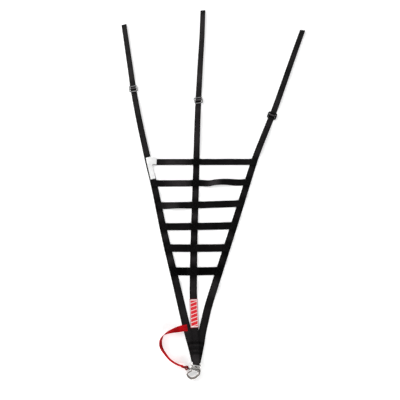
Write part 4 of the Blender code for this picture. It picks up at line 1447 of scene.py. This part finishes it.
def plastic_glide(node, x, y, turn):
    """Moulded slide adjuster: a rounded plate with two slots, its face sunk inside a rim."""
    outline = rounded_rectangle(PLASTIC_WIDE, PLASTIC_TALL, PLASTIC_CORNER, steps=10)
    steps = []
    for sign in (-1, 1):
        shift = sign * (PLASTIC_BAR + PLASTIC_SLOT_TALL) / 2
        slot_outline = rounded_rectangle(PLASTIC_SLOT_WIDE, PLASTIC_SLOT_TALL, PLASTIC_SLOT_CORNER, steps=5)
        steps.append(("DIFFERENCE", plate(slot_outline, 3 * PLASTIC_THICK), (0.0, shift, -PLASTIC_THICK)))
    inner = (PLASTIC_WIDE - 2 * PLASTIC_RIM, PLASTIC_TALL - 2 * PLASTIC_RIM, PLASTIC_CORNER - PLASTIC_RIM)
    sunk_face = plate(rounded_rectangle(*inner, steps=10), 4 * PLASTIC_SUNK)
    steps.append(("DIFFERENCE", sunk_face, (0.0, 0.0, PLASTIC_THICK - PLASTIC_SUNK)))
    shape = fused(plate(outline, PLASTIC_THICK), steps, voxel=0.34, rounds=4)
    set_down(shape, (x, y, LAYER), turn)
    new_piece(node + "_moulding", shape, PLASTIC, node)


def shackle_bail():
    """Bail: a closed wire loop on a boss, its top bar lifted by the webbing below it."""
    tall = BAIL_TOP - BAIL_BASE
    points = []
    for point in rounded_rectangle(2 * BAIL_HALF, tall, BAIL_CORNER, steps=8):
        y = point.y + (BAIL_TOP + BAIL_BASE) / 2
        z = SHACKLE_MID + BAIL_RISE * (y - BAIL_BASE) / tall
        points.append(Vector((point.x + BAIL_SHIFT, y, z)))
    base = (BAIL_SHIFT, BAIL_BASE, SHACKLE_MID)
    boss = block(BAIL_BOSS)
    bmesh.ops.bevel(boss, geom=list(boss.edges), offset=BOSS_EDGE, segments=3, affect="EDGES")
    steps = [
        ("UNION", boss, base),
        ("DIFFERENCE", rod(POST_RADIUS + GAP, 12.0, "y"), base),
    ]
    wire = tube(points, BAIL_WIRE / 2 + SKIN_LOSS, closed=True, sides=24)
    shackle_piece("shackle_bail", fused(wire, steps, voxel=0.26))


def ear_outline():
    """Plan of a clevis ear: from inside the body to a round end about the pivot."""
    root = BODY_RIGHT - EAR_ROOT
    points = [Vector((root, PIVOT[1] + EAR_RADIUS, 0.0)), Vector((root, BODY_LOW + EAR_STEP, 0.0))]
    return points + arc(Vector((*PIVOT, 0.0)), EAST, NORTH, EAR_RADIUS, *EAR_ARC, steps=24)


def shackle_body():
    """Body: a bar with a swivel post, a slot for the jaw's tang and a clevis for its eye."""
    bar = block((BODY_RIGHT - BODY_LEFT, BODY_HIGH - BODY_LOW, BODY_TALL))
    bmesh.ops.bevel(bar, geom=list(bar.edges), offset=BODY_EDGE, segments=4, affect="EDGES")
    middle = ((BODY_RIGHT + BODY_LEFT) / 2, (BODY_HIGH + BODY_LOW) / 2, SHACKLE_MID)
    bmesh.ops.translate(bar, vec=middle, verts=bar.verts)
    slot = block((SLOT_WIDE, SLOT_DEEP, SLOT_TALL))
    slot_middle = (BODY_LEFT + SLOT_WALL + SLOT_WIDE / 2, SLOT_TOP - SLOT_DEEP / 2, SHACKLE_MID)
    steps = [
        ("UNION", lathe(POST_PROFILE, "y"), (BAIL_SHIFT, BODY_HIGH, SHACKLE_MID)),
        ("UNION", plate(ear_outline(), EAR_THICK), (0.0, 0.0, 0.0)),
        ("UNION", plate(ear_outline(), EAR_THICK), (0.0, 0.0, EARS_TALL - EAR_THICK)),
        ("DIFFERENCE", slot, slot_middle),
        ("DIFFERENCE", rod(PIN_RADIUS + GAP, 8.0, "x"), (BODY_LEFT, PIN_Y, SHACKLE_MID)),
        ("DIFFERENCE", rod(RIVET_RADIUS + GAP, CUT_LONG, "z"), (*PIVOT, 0.0)),
    ]
    shackle_piece("shackle_body", fused(bar, steps, voxel=0.22))


def shackle_jaw():
    """Jaw: a wire that swells at its bow, from its eye round to a flat tang."""
    rows = curve_through(JAW_ROUTE, count=6)
    points = [Vector((x, y, SHACKLE_MID)) for x, y, _radius in rows]
    wire = tube(points, [radius for _x, _y, radius in rows], sides=24)
    eye_tall = EARS_TALL - 2 * EAR_THICK - 2 * GAP
    tang = block(TANG_SIZE)
    bmesh.ops.bevel(tang, geom=list(tang.edges), offset=TANG_EDGE, segments=2, affect="EDGES")
    steps = [
        ("UNION", rod(JAW_EYE, eye_tall, "z"), (*PIVOT, SHACKLE_MID)),
        ("UNION", tang, (*TANG, SHACKLE_MID)),
        ("DIFFERENCE", rod(RIVET_RADIUS + GAP, CUT_LONG, "z"), (*PIVOT, SHACKLE_MID)),
    ]
    shackle_piece("shackle_jaw", fused(wire, steps, voxel=0.22), SHADED_STEEL, JAW)


def shackle_rivet():
    """Hinge rivet with a low domed head on top and a peened end below."""
    shape = lathe(RIVET_PROFILE, "z")
    bmesh.ops.translate(shape, vec=(*PIVOT, 0.0), verts=shape.verts)
    shackle_piece("shackle_rivet", shape, SHADED_STEEL)


def lock_pin():
    """Lock pin: a turned shaft with a collar and an eye for the ring."""
    tip = BODY_LEFT + SLOT_WALL
    far = PIN_EYE_X + PIN_EYE
    profile = [
        # distance, radius
        (far, PIN_RADIUS), (far + 0.2, PIN_COLLAR), (BODY_LEFT - GAP, PIN_COLLAR),
        (BODY_LEFT, PIN_RADIUS), (tip, PIN_TIP),
    ]
    shaft = lathe(profile, "x")
    eye = tube(circle(Vector(), EAST, NORTH, PIN_EYE, sides=40), PIN_EYE_WIRE / 2, closed=True)
    shape = fused(shaft, [("UNION", eye, (PIN_EYE_X, 0.0, 0.0))], voxel=0.16)
    bmesh.ops.translate(shape, vec=(0.0, PIN_Y, SHACKLE_MID), verts=shape.verts)
    shackle_piece("shackle_lock_pin", shape, SHADED_STEEL)


def pull_ring():
    """Ring of thin wire standing on its edge."""
    centre = ring_centre()
    points = circle(Vector(), EAST, UP, RING_RADIUS, sides=64)
    shape = tube(points, RING_WIRE / 2, closed=True, normal=NORTH)
    set_down(shape, (centre.x, centre.y, RING_RADIUS + RING_WIRE / 2), RING_TURN)
    new_piece("shackle_pull_ring_wire", shape, WIRE_STEEL, "shackle_pull_ring")


def build():
    left, left_flat = side_strap("strap_left", LEFT_PLAN, [], 1.0)
    right, right_flat = side_strap("strap_right", RIGHT_PLAN, RIGHT_CLIMBS, 2.0)
    centre, centre_flat = centre_strap(3.0)
    sewn = point_stitches()
    for seed, (name, *ends) in enumerate(RIBBONS):
        piece, flat, thread = ribbon(name, ends, 10.0 + seed)
    label, flat = plain_label()
    label, flat, thread = striped_label()
    pull, flat, thread = pull_strap()
    for name, _strap, x, y, turn, *_hump in GLIDES:
        make = plastic_glide if name == "glide_right" else wire_glide
        make(name, x, y, turn)
    shackle_bail()
    shackle_body()
    shackle_jaw()
    shackle_rivet()
    lock_pin()
    pull_ring()


set_camera()
set_lights()
set_floor()
build()
